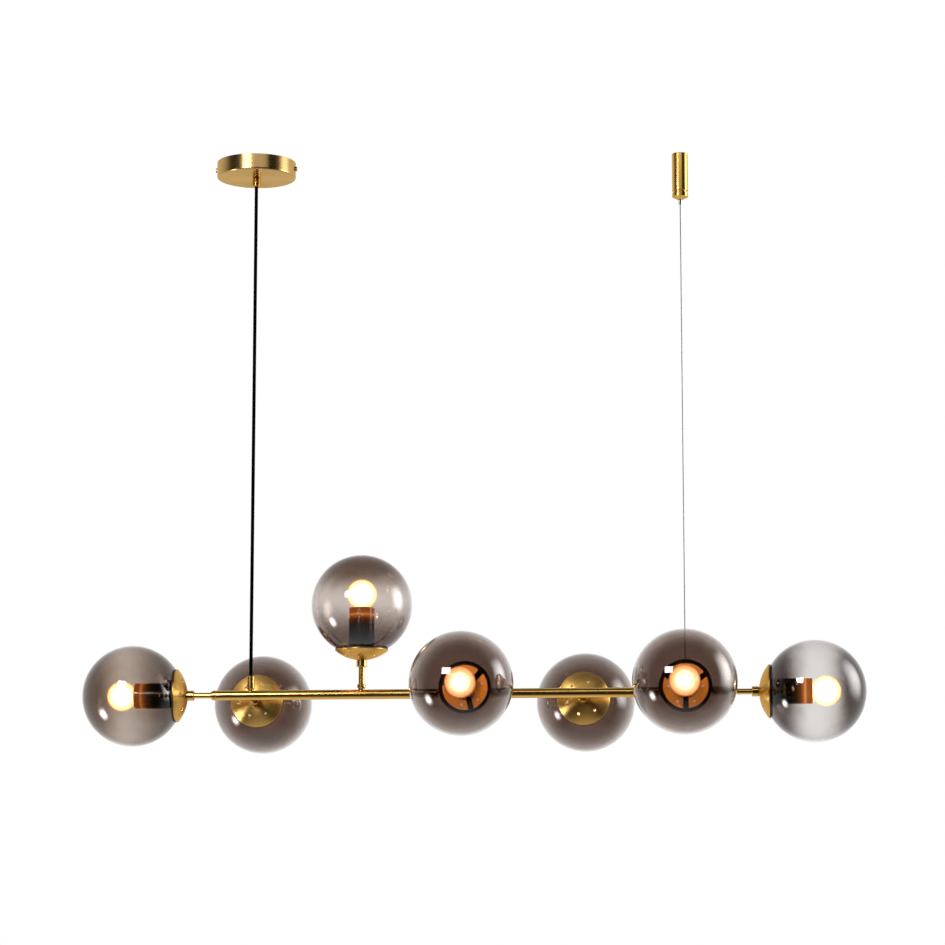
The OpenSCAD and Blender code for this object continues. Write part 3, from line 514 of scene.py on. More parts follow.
# %% Plastics and rubber
def moulded(name, tone, deep, rough, grain=250.0, bump_mm=0.02, gloss=0.5):
    """Moulded plastic or rubber: a fine grain in tone, roughness and bump."""
    material, tree, shader = new_material(name, Specular_IOR_Level=gloss)
    place = add(tree, "ShaderNodeTexCoord").outputs["Object"]
    noise = noise_at(tree, place, grain, 5.0)
    tree.links.new(ramp(tree, noise, [(0.35, deep), (0.65, tone)]), shader.inputs["Base Color"])
    tree.links.new(between(tree, noise, rough - 0.05, rough + 0.07), shader.inputs["Roughness"])
    bump = add(tree, "ShaderNodeBump", {"Strength": 0.3, "Distance": bump_mm * MM, "Height": noise})
    tree.links.new(bump.outputs["Normal"], shader.inputs["Normal"])
    return material


# rings between cap and glass: moulded rubber, soft matt black
rubber = moulded("black_rubber", "#161514", "#0d0c0c", 0.55)
# supply cord: extruded matt sheath, which gives back hardly any light and so stays a plain black line
cord_sheath = moulded("black_cord_sheath", "#030303", "#010101", 0.85, grain=900.0, bump_mm=0.03, gloss=0.03)
# terminal block: moulded cream polyamide with a satin shine
terminal_plastic = moulded("terminal_plastic", "#ece6d6", "#ddd5c2", 0.45)
# leads in the canopy: extruded ivory insulation, smoother than the block
lead_plastic = moulded("lead_insulation", "#e6dfcf", "#d8cfbb", 0.4)
print("plastics ready")

# %% [markdown]
# ## Lampholder resin with painted glow
#
# Lampholders are pressed from black phenolic resin and are polished by the mould. Round a lit bulb the mouth looks dark
# orange, because some of the bulb's light leaks through the thin wall. Real scattering in the wall would take very many
# samples. So that light is painted on: the resin gets a weak painted glow along the holder's own height, which looks
# the same from every side and moves with the piece.


# %% Phenolic with the bulb's light painted on
def lit_phenolic():
    """Black phenolic resin with a painted dark orange glow of the lit bulb's light, where its wall is thin round the
    bulb.

    The painted glow follows the height: full from the mouth to the bead, a painted highlight at the bead, gone 30 mm
    further.
    """
    material, tree, shader = new_material("black_phenolic", Emission_Strength=2.0)
    _, height, place = turned_coordinates(tree)
    grain = noise_at(tree, place, 0.6, 4.0)
    tree.links.new(ramp(tree, grain, [(0.35, "#070403"), (0.65, "#0e0906")]), shader.inputs["Base Color"])
    tree.links.new(between(tree, grain, 0.14, 0.24), shader.inputs["Roughness"])
    # painted glow: the bulb's light on the holder as emission along its height, with a painted highlight at the bead
    depth = between(tree, height, 1.0, 0.0, -45.0, MOUTH_Z)
    painted_glow_stops = [
        (0.0, "#7a3c12"),
        (0.2, "#5c2c0e"),
        (0.26, "#c07a3c"),
        (0.31, "#8a4a1c"),
        (0.42, "#4a240c"),
        (0.6, "#140a04"),
        (0.8, "#000000"),
    ]
    tree.links.new(ramp(tree, depth, painted_glow_stops), shader.inputs["Emission Color"])
    return material


phenolic = lit_phenolic()
print("lampholder resin ready")

# %% [markdown]
# ## Glass
#
# The globes are blown clear and coated: dense, half mirrored smoke at the far pole and at the neck, and a clear
# band round the middle. The height along the head's axis, from the neck at 0 to the far pole at 1, gives the tint
# that one wall lets through. A film of metal as a shell of its own would be nearer to the coating, but two skins so
# close together flicker, so the tint sits in the glass. The wall itself has both skins: light bends at each, and at
# the rim, where it runs a long way inside the wall, the absorption draws the thin dark outline.


# %% Smoked glass
# (height, tint): how dark the coating is differs from globe to globe, as coated glass does
SMOKES = {
    "clear_band": [
        (0.0, "#93847d"),
        (0.16, "#857772"),
        (0.22, "#978d89"),
        (0.3, "#d9d4d1"),
        (0.4, "#faf8f6"),
        (0.5, "#fdfbf9"),
        (0.62, "#f9f7f5"),
        (0.72, "#e9e5e2"),
        (0.8, "#a9a19e"),
        (0.87, "#7f7573"),
        (1.0, "#988981"),
    ],
    "soft_band": [
        (0.0, "#9c867a"),
        (0.16, "#92807a"),
        (0.26, "#aa9c96"),
        (0.38, "#dcd3ce"),
        (0.5, "#f2ebe6"),
        (0.62, "#f3ede8"),
        (0.73, "#d8cec7"),
        (0.83, "#a79589"),
        (0.89, "#98877a"),
        (1.0, "#b5a096"),
    ],
    "dense": [
        (0.0, "#968579"),
        (0.15, "#978b82"),
        (0.27, "#ac9f97"),
        (0.38, "#cfc4ba"),
        (0.5, "#dfd5cc"),
        (0.58, "#e9dfd7"),
        (0.68, "#e2d7ce"),
        (0.78, "#c0b0a5"),
        (0.88, "#94857a"),
        (1.0, "#9a897d"),
    ],
}


def smoked_glass(name):
    """Blown glass with a thin metal smoke on it, which a little strengthens its mirror."""
    material, tree, shader = new_material(
        "smoked_glass_" + name, Transmission_Weight=1.0, Roughness=0.0, IOR=1.52, Specular_IOR_Level=0.7
    )
    _, height, place = turned_coordinates(tree)
    # the coating's edge wanders by up to 8 mm up and down
    patchy = noise_at(tree, place, 0.03, 3.0)
    shifted = formula(tree, "MULTIPLY_ADD", patchy, 16.0, formula(tree, "ADD", height, -8.0))
    smoke = ramp(tree, between(tree, shifted, 0.0, 1.0, -GLOBE_R, GLOBE_R), SMOKES[name])
    tree.links.new(smoke, shader.inputs["Base Color"])
    inside = add(tree, "ShaderNodeVolumeAbsorption", {"Color": colour("#5a5250"), "Density": 30.0})
    tree.links.new(inside.outputs[0], tree.nodes["Material Output"].inputs["Volume"])
    open_to_lamps(tree, shader, smoke)
    return material


def open_to_lamps(tree, shader, tint):
    """Lets the rays that ask for lamps pass through the glass, tinted. Otherwise its shadow would be black."""
    path = add(tree, "ShaderNodeLightPath").outputs["Is Shadow Ray"]
    clear = add(tree, "ShaderNodeBsdfTransparent", {"Color": tint}).outputs[0]
    both = add(tree, "ShaderNodeMixShader", {0: path, 1: shader.outputs[0], 2: clear}).outputs[0]
    tree.links.new(both, tree.nodes["Material Output"].inputs["Surface"])


globe_glass = {name: smoked_glass(name) for name in SMOKES}
print("globe glass:", ", ".join(globe_glass))

# %% [markdown]
# ## Bulb glass
#
# The bulbs are clear, thin-walled glass. When one is lit, its own brightness hides the wall, but a little warm light
# stays in it: a weak emission on top of plain glass. Frosting it instead would hide the thread and the glow inside.


# %% Bulb glass
def bulb_glass():
    """Clear, slightly warm glass, lit from inside."""
    material, tree, shader = new_material("lit_bulb_glass", Transmission_Weight=1.0, Roughness=0.0, IOR=1.47)
    shader.inputs["Emission Color"].default_value = colour("#ffb070")
    shader.inputs["Emission Strength"].default_value = 0.35
    _, _, place = turned_coordinates(tree)
    noise = noise_at(tree, place, 0.12)
    tint = ramp(tree, noise, [(0.3, "#fff0e0"), (0.7, "#fff6ea")])
    tree.links.new(tint, shader.inputs["Base Color"])
    open_to_lamps(tree, shader, tint)
    return material


lamp_glass = bulb_glass()
print("bulb glass ready")

# %% [markdown]
# ## Cord and wire
#
# The cord and the wire hang taut between the ceiling fittings and the bar, along the same routes as their solids.
# A Bezier curve with a bevel makes a cord quickly, but only a round one. A tube of rings is as easy on a straight
# route, and its radius can follow the six twisted strands of the wire.


# %% Cord and wire
def tube_grid(heights, radius, segments=24, lobes=0, groove=0.0, pitch=9.0):
    """A tube about Z, with twisted strands if lobes is not 0. Its heights run downwards.

    At height z and angle a the radius is radius - groove (1 - |cos(lobes (a - 2 pi z / pitch) / 2)|).
    """
    angle = np.linspace(0, 2 * np.pi, segments + 1)
    z = heights[::-1, None] + 0 * angle
    r = radius - groove * (1 - np.abs(np.cos(0.5 * lobes * (angle - 2 * np.pi * z / pitch))))
    points = np.stack([r * np.cos(angle), r * np.sin(angle), z], axis=-1)
    points[[0, -1], :, :2] *= 0.999
    u, v = np.meshgrid(angle / (2 * np.pi), np.linspace(0, 1, len(heights)))
    return sheet(points, np.stack([u, v], axis=-1))


CORD_TOP, CORD_FOOT = -36.0, BAR_Z + BAR_R + 5.0
WIRE_TOP, WIRE_FOOT = -78.0, BAR_Z + BAR_R + 6.0
CANOPY_AT, WIRE_AT = [moved(0, 0, 0)], [moved(WIRE_X, 0, 0)]
cord_grid = tube_grid(np.linspace(CORD_TOP, CORD_FOOT, 60), 2.6)
cord_piece = make_piece("cord_sheath", [cord_grid], CANOPY_AT, cord_sheath, "suspension_cord")
wire_grid = tube_grid(np.linspace(WIRE_TOP, WIRE_FOOT, 900), 0.75, lobes=6, groove=0.2)
wire_piece = make_piece("wire_rope", [wire_grid], WIRE_AT, rope_metal, "suspension_wire")
print("cord %.2f mm, wire %.2f mm" % (CORD_TOP - CORD_FOOT, WIRE_TOP - WIRE_FOOT))

# %% [markdown]
# ## Canopy and cord grip
#
# The canopy is a dish spun from 1.2 mm brass sheet, and the cord grip under it is turned from bar. A cylinder with a
# Bevel modifier would round all edges alike. In these outlines, (radius, height) in millimetres, the dish's bend is
# wide and its cut rim nearly sharp, and the third number of a corner is its own radius.

# %% Canopy and cord grip
dish = [(5.1, -24, 0.2), (60, -24, 2.4), (60, 0, 0.3), (58.8, 0, 0.3), (58.8, -22.8, 1.2), (5.1, -22.8, 0.2)]
cord_grip = [(3.6, -37), (5.4, -37), (6, -36.4), (6, -24.6), (5.4, -24)]
cord_grip += [(5, -24), (5, -15), (2.7, -15), (2.7, -34.4)]
make_piece("spun_canopy", [turned(rounded(dish, steps=5), 160)], CANOPY_AT, canopy_brass, "canopy")
turned_piece("turned_cord_grip", cord_grip, 0.15, 72, CANOPY_AT, tube_brass, "canopy_cord_grip")
print("canopy dressed")

# %% [markdown]
# ## Ceiling anchor
#
# A slim barrel and its end nut are turned from brass, and the nickelled plunger in the nut's cone frees the wire.
# The groove between barrel and nut could be drawn with a dark line, but here it is a real step in two outlines, so
# it has light on one edge and shadow in it, and the plunger can slide.

# %% Ceiling anchor
barrel = [(10, -58), (11.5, -58), (12, -57.5), (12, -0.5), (11.5, 0), (10, 0)]
barrel += [(10, -45), (1.75, -45), (1.75, -48), (10, -48)]
end_nut = [(2.65, -71), (4.1, -71), (12, -67), (12, -61), (11.5, -60.5), (10.6, -60.5)]
end_nut += [(10.6, -58), (9.9, -58), (9.9, -48), (4.4, -48), (4.4, -66), (2.65, -66)]
plunger = [(1.65, -78.5), (2.1, -78.5), (2.5, -78.1), (2.5, -65.9)]
plunger += [(4.1, -65.9), (4.1, -60.9), (0.95, -60.9), (0.95, -76.9)]
turned_piece("turned_anchor_barrel", barrel, 0.2, 96, WIRE_AT, tube_brass, "anchor_barrel")
turned_piece("turned_anchor_nut", end_nut, 0.2, 96, WIRE_AT, tube_brass, "anchor_end_nut")
turned_piece("turned_plunger", plunger, 0.15, 64, WIRE_AT, nickel, "anchor_plunger")
print("anchor dressed")

# %% [markdown]
# ## Bar
#
# The bar is a drawn tube with a chamfered ring pressed into each end. Five bosses, the cord grip and the wire socket
# stand on it, and their feet reach into its wall. They could be joined to the bar with a Boolean, but on the real
# lamp they are soldered or screwed on, and separate pieces keep the sharp line where two parts meet.

# %% Bar
BAR_IN = BAR_R - BAR_WALL
bar = [(BAR_IN, -BAR_HALF), (BAR_R, -BAR_HALF), (BAR_R, BAR_HALF), (BAR_IN, BAR_HALF)]
ring_r, nose_r = BAR_R + 0.2, BAR_R - 1
end_ring = [
    (ARM_R - ARM_WALL, -9),
    (BAR_IN - 0.1, -9),
    (BAR_IN - 0.1, 0),
    (ring_r - 0.8, 0),
    (ring_r, 0.8),
    (ring_r, 4.2),
    (nose_r, 5),
    (nose_r, 6.7),
    (nose_r - 0.5, 7.2),
    (ARM_R + 0.1, 7.2),
    (ARM_R + 0.1, 0),
    (ARM_R - ARM_WALL, 0),
]
turned_piece("drawn_bar", bar, 0.15, 96, [ALONG_BAR], tube_brass, "bar_tube")
ends = [at_bar("left"), at_bar("right")]
turned_piece("turned_end_rings", end_ring, 0.2, 96, ends, tube_brass, "bar_end_rings")
foot = BAR_R - 1.2
grip = [(2.0, foot), (4.5, foot), (4.5, BAR_R + 0.8), (6.1, BAR_R + 3), (6.1, BAR_R + 9.3), (5.4, BAR_R + 10)]
grip += [(5.4, BAR_R + 20.4), (4.8, BAR_R + 21), (2.7, BAR_R + 21), (2.7, BAR_R + 5), (2.0, BAR_R + 5)]
socket = [(2.0, foot), (4.5, foot), (4.5, BAR_R + 10), (1.95, BAR_R + 14)]
socket += [(0.85, BAR_R + 14), (0.85, BAR_R + 6), (0.4, BAR_R + 5)]
turned_piece("turned_bar_grip", grip, 0.15, 72, [moved(0, 0, BAR_Z)], tube_brass, "bar_cord_grip")
turned_piece("turned_wire_socket", socket, 0.15, 64, [moved(WIRE_X, 0, BAR_Z)], tube_brass, "bar_wire_socket")
boss = [(3.25, foot), (4.5, foot), (4.5, BAR_R + 0.8), (6.2, BAR_R + 3), (6.2, BAR_R + 7.2), (5.4, BAR_R + 8)]
boss += [(ARM_R + 0.1, BAR_R + 8), (ARM_R + 0.1, BAR_R + 4), (3.25, BAR_R + 4)]
turned_piece("turned_bosses", boss, 0.2, 80, [at_bar(h) for h in ON_BAR], tube_brass, "bar_bosses")
print("bar dressed")

# %% [markdown]
# ## Arms and collars
#
# The seven arms are cut from one tube to three lengths. An Array modifier repeats only equal pieces, so each arm's
# surface is placed by its own matrix and all go into one mesh, which their CAD node shares too. The collars are
# equal: one outline, put at seven places.


# %% Arms and collars
def arm_outline(head):
    """A tube from its seat on the bar up into its collar, in the frame of the bar."""
    start = BAR_R + 4 if head in ON_BAR else 0.0
    end = HEADS[head][1] + COLLAR_Z + 4
    return rounded([(ARM_R - ARM_WALL, start), (ARM_R, start), (ARM_R, end), (ARM_R - ARM_WALL, end)], 0.1)


def placed_surface(surface, matrix):
    """A surface moved, so that pieces of different shape can share one mesh."""
    return surface[0] @ matrix[:3, :3].T + matrix[:3, 3], surface[1], surface[2]


arms = [placed_surface(turned(arm_outline(h), 64), at_bar(h)) for h in HEADS]
collar = [
    (3.25, COLLAR_Z + 4),
    (ARM_R + 0.1, COLLAR_Z + 4),
    (ARM_R + 0.1, COLLAR_Z),
    (6.7, COLLAR_Z, 0.5),
    (7.5, COLLAR_Z + 0.8, 0.5),
    (7.5, CAP_Z - 1.6),
    (6.7, CAP_Z - 0.8),
    (6.7, CAP_Z),
    (5.1, CAP_Z),
    (5.1, COLLAR_Z + 6),
    (3.25, COLLAR_Z + 6),
]
make_piece("drawn_arms", arms, [np.eye(4)], tube_brass, "arm_tubes")
turned_piece("turned_collars", collar, 0.2, 80, [at_head(h) for h in HEADS], tube_brass, "cap_collars")
print("arms dressed")

# %% [markdown]
# ## Vents
#
# A cap is a spun dome. Its ring of vents is made of square patches on the sphere, each with a round hole in it:
# the rings of a patch go from the hole's circle out to the patch's four sides. A Boolean cuts such holes with less
# work, but the long thin faces that it leaves show as creases in a polished dome.


# %% Vents
def on_dome(radius, polar, turn):
    """Points of a sphere round the dome's centre: polar is the angle from the pole that faces the arm."""
    out = radius * np.sin(polar)
    return np.stack([out * np.cos(turn), out * np.sin(turn), DOME_Z - radius * np.cos(polar)], axis=-1)


def vent_rings(inner, outer, across, up, rings):
    """The chart of one patch: rows go from the vent's circle to the border, columns run round it.

    The chart's a is the turn from the vent's middle times the vent ring's sine and b the polar angle from it,
    both in radians. Border point j goes round the rectangle, and its circle point has the same direction.
    """
    polar = np.arcsin(VENT_RING_R / DOME_R)
    scale = np.sin(polar)
    half = np.pi / VENTS * scale
    low, high = np.arcsin(inner / DOME_R) - polar, np.arcsin(outer / DOME_R) - polar
    s, t = np.linspace(0, 1, across + 1), np.linspace(0, 1, up + 1)
    a = np.concatenate([-half + 2 * half * s, half + 0 * t[1:], half - 2 * half * s[1:], -half + 0 * t[1:]])
    b = np.concatenate([low + 0 * s, low + (high - low) * t[1:], high + 0 * s[1:], high - (high - low) * t[1:]])
    direction = np.arctan2(b, a)
    hole = VENT_R / DOME_R
    share = np.linspace(0, 1, rings)[:, None] ** 1.6
    return (
        (hole * np.cos(direction)) * (1 - share) + a * share,
        (hole * np.sin(direction)) * (1 - share) + b * share,
        polar,
        scale,
    )


print("vent circle: %.1f mm across" % (2 * VENT_R))

# %% [markdown]
# ## Caps
#
# The cap's middle and its rim are turned like any other piece. They could overlap the patches a little, but metal
# shows such a step. So they have the same points along the joint, and the weld closes them into one skin.


# %% Caps
def dome_angle(distance, radius=DOME_R):
    """The angle above the equator, in degrees, of a dome's point at this distance from the axis."""
    return -90 + np.degrees(np.arcsin(distance / radius))


def vented_cap(segments=96):
    """All surfaces of a cap: middle, rim, and for each vent an outer patch, an inner patch and the hole's wall."""
    per_vent = segments // VENTS
    # the patches reach from one of these distances from the axis to the other
    inner, outer = 17.0, 33.0
    skin = DOME_R - CAP_SHEET
    # the inner skin has the same centre, so the same polar angles
    flat_in = np.sqrt(skin**2 - (DOME_Z - CAP_Z - CAP_SHEET) ** 2)
    rim_out = arc(DOME_R, DOME_Z, dome_angle(outer), dome_angle(CAP_R - 0.1), 8)
    rim_in_r, band_z = CAP_R - CAP_SHEET, DOME_Z - DOME_RISE + DOME_H
    rim_in = arc(skin, DOME_Z, dome_angle(rim_in_r, skin), dome_angle(outer), 8)
    rim = np.concatenate(
        [
            rim_out,
            [(CAP_R, band_z + 0.1), (CAP_R, RIM_Z - 0.25), (CAP_R - 0.08, RIM_Z - 0.08), (CAP_R - 0.25, RIM_Z)],
            [(rim_in_r + 0.25, RIM_Z), (rim_in_r + 0.08, RIM_Z - 0.08)],
            [(rim_in_r, RIM_Z - 0.25), (rim_in_r, band_z + 0.2)],
            rim_in[1:],
        ]
    )
    middle_in = arc(skin, DOME_Z, dome_angle(inner), dome_angle(flat_in, skin), 6)
    middle_out = arc(DOME_R, DOME_Z, dome_angle(FLAT_R), dome_angle(inner), 6)
    middle = np.concatenate(
        [
            middle_in,
            [(flat_in - 0.4, CAP_Z + CAP_SHEET), (5.3, CAP_Z + CAP_SHEET), (5.1, CAP_Z + 0.8)],
            [(5.1, CAP_Z + 0.2), (5.3, CAP_Z), (FLAT_R - 0.4, CAP_Z)],
            middle_out,
        ]
    )
    surfaces = [turned(middle, segments), turned(rim, segments)]
    a, b, polar, scale = vent_rings(inner, outer, per_vent, 8, 6)
    for k in range(VENTS):
        turn = 2 * np.pi * (k + 0.5) / VENTS + a / scale - np.pi / VENTS
        uv = np.stack([turn / (2 * np.pi), 0.5 + b], axis=-1)
        outside, inside = on_dome(DOME_R, polar + b, turn), on_dome(skin, polar + b, turn)
        surfaces.append(sheet(outside[::-1], uv[::-1]))
        surfaces.append(sheet(inside, uv))
        surfaces.append(sheet(np.stack([inside[0], outside[0]])[::-1], uv[:2]))
    return surfaces


for head in HEADS:
    make_piece("spun_cap_" + head, vented_cap(), [at_head(head)], spun_brass, "cap_" + head)
print("caps dressed:", len(HEADS))

# %% [markdown]
# ## Rubber rings and lampholders
#
# The rubber ring keeps glass and metal apart and shows as a thin black line at each globe's neck. The lampholder is a
# pressed cup with a wide round shoulder and a bead below its mouth. Sculpted or subdivided shapes would be softer
# than a pressed part is, so the bead is four corners of the outline with 0.3 mm radii.

# %% Rubber rings and lampholders
gasket = [(33, RIM_Z - 1.4), (38.4, RIM_Z - 1.4), (38.4, RIM_Z), (39.2, RIM_Z), (39.2, RIM_Z + 2), (33, RIM_Z + 2)]
holder = [
    (5.1, HOLDER_Z),
    (HOLDER_R, HOLDER_Z, 6.0),
    (HOLDER_R, MOUTH_Z - 12.2, 0.3),
    (HOLDER_R + 0.5, MOUTH_Z - 11.7, 0.3),
    (HOLDER_R + 0.5, MOUTH_Z - 10.3, 0.3),
    (HOLDER_R, MOUTH_Z - 9.8, 0.3),
    (HOLDER_R, MOUTH_Z, 0.8),
    (CAVITY_R, MOUTH_Z, 0.8),
    (CAVITY_R, CAVITY_Z, 0.3),
    (0, CAVITY_Z),
]
holder_back = [(0, CAVITY_Z - 3), (13, CAVITY_Z - 3), (13, HOLDER_Z + 5), (5.1, HOLDER_Z + 5), (5.1, HOLDER_Z)]
turned_piece("rubber_rings", gasket, 0.4, 120, [at_head(h) for h in HEADS], rubber, "glass_gaskets")
holder_skins = [turned(rounded(holder, steps=6)[:-1], 96), turned(rounded(holder_back, 0.0), 96)]
for head in HEADS:
    make_piece("moulded_holder_" + head, holder_skins, [at_head(head)], phenolic, "lampholder_" + head)
print("lampholders dressed")

# %% [markdown]
# ## Bulb shapes
#
# The bulb is a ball of thin glass on a nickelled base with a rolled thread. The thread could be a bump, but it shows
# in outline when the bulb is screwed out. One formula gives it: the radius falls and rises once for each pitch, and
# the angle shifts it, so the rings become one helix.


# %% Bulb shapes
def bulb_outline():
    """The inner skin from the tip to the neck, then the outer skin back, as one open outline."""
    meet = -np.degrees(np.arccos(BULB_NECK_R / BULB_R))
    inner_r, inner_neck = BULB_R - BULB_WALL, BULB_NECK_R - BULB_WALL
    meet_in = -np.degrees(np.arccos(inner_neck / inner_r))
    inner = arc(inner_r, BULB_Z, 90, meet_in, 40)
    outer = arc(BULB_R, BULB_Z, meet, 90, 44)
    foot_in, foot = [(inner_neck, -14.0)], [(BULB_NECK_R, -14.0)]
    return np.concatenate([inner, foot_in, foot, outer])


def base_grid(segments=96, rings=85, pitch=3.6, deep=0.55, run_out=2.5):
    """The screw base, with a rolled thread that runs out at both ends.

    At height z and angle a the radius is BASE_R - deep fade (1 + cos(2 pi z / pitch - a)) / 2.
    """
    top, foot = BASE_RIM_Z, BASE_RIM_Z - 21.0
    angle = np.linspace(0, 2 * np.pi, segments + 1)
    z = np.linspace(foot, top, rings)[:, None] + 0 * angle
    fade = np.clip(np.minimum(z - foot, top - z) / run_out, 0, 1)
    r = BASE_R - deep * fade * (1 + np.cos(2 * np.pi * z / pitch - angle)) / 2
    points = np.stack([r * np.cos(angle), r * np.sin(angle), z], axis=-1)
    u, v = np.meshgrid(angle / (2 * np.pi), np.linspace(0, 1, rings))
    return sheet(points, np.stack([u, v], axis=-1))


base_inside = [(BASE_R, BASE_RIM_Z), (BASE_R - 0.45, BASE_RIM_Z + 0.02), (BASE_R - 0.5, BASE_RIM_Z - 0.4)]
base_inside += [(BASE_R - 0.5, -14.0), (11.5, -14.0), (11.5, -32.0), (0, -32.0)]
base_under = [(0, BASE_TIP_Z), (3.4, BASE_TIP_Z), (3.6, BASE_TIP_Z + 0.2), (4.6, BASE_TIP_Z + 1.5)]
base_under += [(9.0, BASE_TIP_Z + 1.5), (BASE_R, BASE_RIM_Z - 21.0)]
base_skins = [base_grid(), turned(np.array(base_inside), 96), turned(np.array(base_under), 96)]
print("bulb outline: %d points" % len(bulb_outline()))

# %% [markdown]
# ## Glow
#
# A lit bulb burns out to white in the middle and is warm at its edge. A single bright ball looks like a flat disc.
# Four thin shells inside the glass each shine a little and let the rest through, so a ray through the middle gathers
# the most.


# %% Glow
def glow(name, tone, strength, share):
    """One thin shell of light: mostly clear, with a share that shines."""
    material, tree, _ = new_material(name)
    tree.nodes.remove(tree.nodes["Principled BSDF"])
    shine = add(tree, "ShaderNodeEmission", {"Color": colour(tone), "Strength": strength}).outputs[0]
    clear = add(tree, "ShaderNodeBsdfTransparent").outputs[0]
    both = add(tree, "ShaderNodeMixShader", {0: share, 1: clear, 2: shine}).outputs[0]
    tree.links.new(both, tree.nodes["Material Output"].inputs["Surface"])
    material.cycles.emission_sampling = "NONE"
    return material


# (radius, material): warm and weak outside, white and strong inside
GLOWS = [
    (8.0, glow("filament_glow", "#fff4e0", 30.0, 0.9)),
    (14.0, glow("core_glow", "#fff0da", 14.0, 0.4)),
    (18.0, glow("middle_glow", "#ffe9c8", 5.0, 0.3)),
    (21.2, glow("outer_glow", "#ffd095", 4.3, 0.3)),
]
print("glow shells:", len(GLOWS))

# %% [markdown]
# ## Light in the caps
#
# The caps are orange inside, because the bulb's light goes round and round in them. Cycles finds that light only by
# chance and with noise. So each head has a disc lamp, warm as the bulb, that lights its own cap and nothing else.


# %% Light in the caps
def only_on(lamp, pieces):
    """Lets a lamp light these pieces only."""
    receivers = bpy.data.collections.new(lamp.name + "_receivers")
    for piece in pieces:
        receivers.objects.link(piece)
    lamp.light_linking.receiver_collection = receivers


def inner_lamp(name, head, z, size, radiance, parent, lit):
    """A disc of light across a head's axis that shines back towards the cap and moves with its parent piece."""
    light = bpy.data.lights.new(name, "AREA")
    light.shape, light.size = "DISK", size * MM
    light.energy = radiance * np.pi * np.pi * (size / 2 * MM) ** 2
    light.color = colour("#ffd0a0")[:3]
    lamp = bpy.data.objects.new(name, light)
    matrix = at_head(head) @ moved(0, 0, z)
    matrix[:3, 3] *= MM
    lamp.matrix_world = Matrix(matrix)
    lamp.parent = parent
    lamp.visible_camera = False
    lamp.visible_transmission = False
    scene.collection.objects.link(lamp)
    only_on(lamp, lit)


print("lamp tools ready")

# %% [markdown]
# ## Bulbs
#
# Glass, base, glow and lamp make one bulb. They could be joined into one object, but the CAD model has the glass and
# the base as two nodes, so they stay apart here and ride on the same body. All leave the lampholder together.

# %% Bulbs
for head in HEADS:
    place = [at_head(head)]
    body = nodes["bulb_glass_" + head]["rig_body"]
    bulb = make_piece("lit_bulb_" + head, [turned(bulb_outline(), 96)], place, lamp_glass, "bulb_glass_" + head)
    make_piece("bulb_screw_" + head, base_skins, place, nickel, "bulb_base_" + head)
    for radius, material in GLOWS:
        ball = turned(arc(radius, BULB_Z, -90, 90, 33), 48)
        name = "glow_%d_%s" % (round(radius), head)
        shell = make_piece(name, [ball], place, material, body=body)
        shell.visible_shadow = False
    cap = bpy.data.objects["spun_cap_" + head]
    inner_lamp("bulb_lamp_" + head, head, z=20.0, size=60.0, radiance=190.0, parent=bulb, lit=[cap])
print("bulbs dressed:", len(HEADS))

# %% [markdown]
# ## Globes
#
# Each globe is blown, cut off at its neck and fire-polished, which leaves a round lip. A UV sphere with a Solidify
# modifier has no such lip, and its poles and thickness are harder to hold. Here one outline runs down the inner skin,
# round the lip and back up the outer skin, and closes a wall of 2 mm. The coating differs from globe to globe, as in
# the photograph: the left one is dense, and the right one has the clearest band.


# %% Globes
def globe_outline():
    """The inner skin from the far pole to the neck, the fire-polished lip, and the outer skin back."""
    skin = GLOBE_R - GLASS
    start = np.degrees(np.arcsin(NECK_Z / GLOBE_R)) + 0.6
    start_in = np.degrees(np.arcsin(NECK_Z / skin)) + 0.6
    inner = arc(skin, 0, 90, start_in, 70)
    outer = arc(GLOBE_R, 0, start, 90, 76)
    a = np.radians(np.linspace(200, 340, 7))
    middle, half = (LIP_R + NECK_R) / 2, (NECK_R - LIP_R) / 2
    lip = np.stack([middle + half * np.cos(a), NECK_Z + 0.75 + 0.75 * np.sin(a)], axis=-1)
    return np.concatenate([inner, lip, outer])


SMOKED = {"left": "dense", "right": "clear_band"}
for head in HEADS:
    glass = globe_glass[SMOKED.get(head, "soft_band")]
    make_piece("blown_globe_" + head, [turned(globe_outline(), 144)], [at_head(head)], glass, "globe_" + head)
print("globes dressed:", len(HEADS))

# %% [markdown]
# ## The CAD pieces that stay
#
# Pieces deep inside the canopy, the caps and the lampholders are seen only in glimpses or when a globe is off. Their
# solids already have the right shape, so they aren't dressed again, and only get the material of the real piece.

# %% CAD pieces
CAD_LOOKS = {
    "canopy_bracket": zinc,
    "canopy_screws": screw_brass,
    "canopy_grip_nut": zinc,
    "terminal_block": terminal_plastic,
    "supply_leads": lead_plastic,
    "anchor_plug": zinc,
    "holder_nipples": zinc,
    "glass_clip_nuts": zinc,
    "glass_clips": black_steel,
    "socket_contacts": contact_brass,
}
for name, material in CAD_LOOKS.items():
    for k in range(len(nodes[name].material_slots)):
        nodes[name].material_slots[k].material = material
print("CAD looks:", len(CAD_LOOKS))

# %% [markdown]
# ## Studio
#
# A white studio with a pale floor far below. A lamp of brass and glass is mostly made of its surroundings, so the
# world is told apart by the kind of ray. Polished pieces see it bright behind and beside the lamp and dim on the
# camera's side, as in a studio with the light round the set. An HDR photograph of a studio could do this too, but a
# few ramps over the ray's direction are easier to move until each reflection lies where the photograph has it.


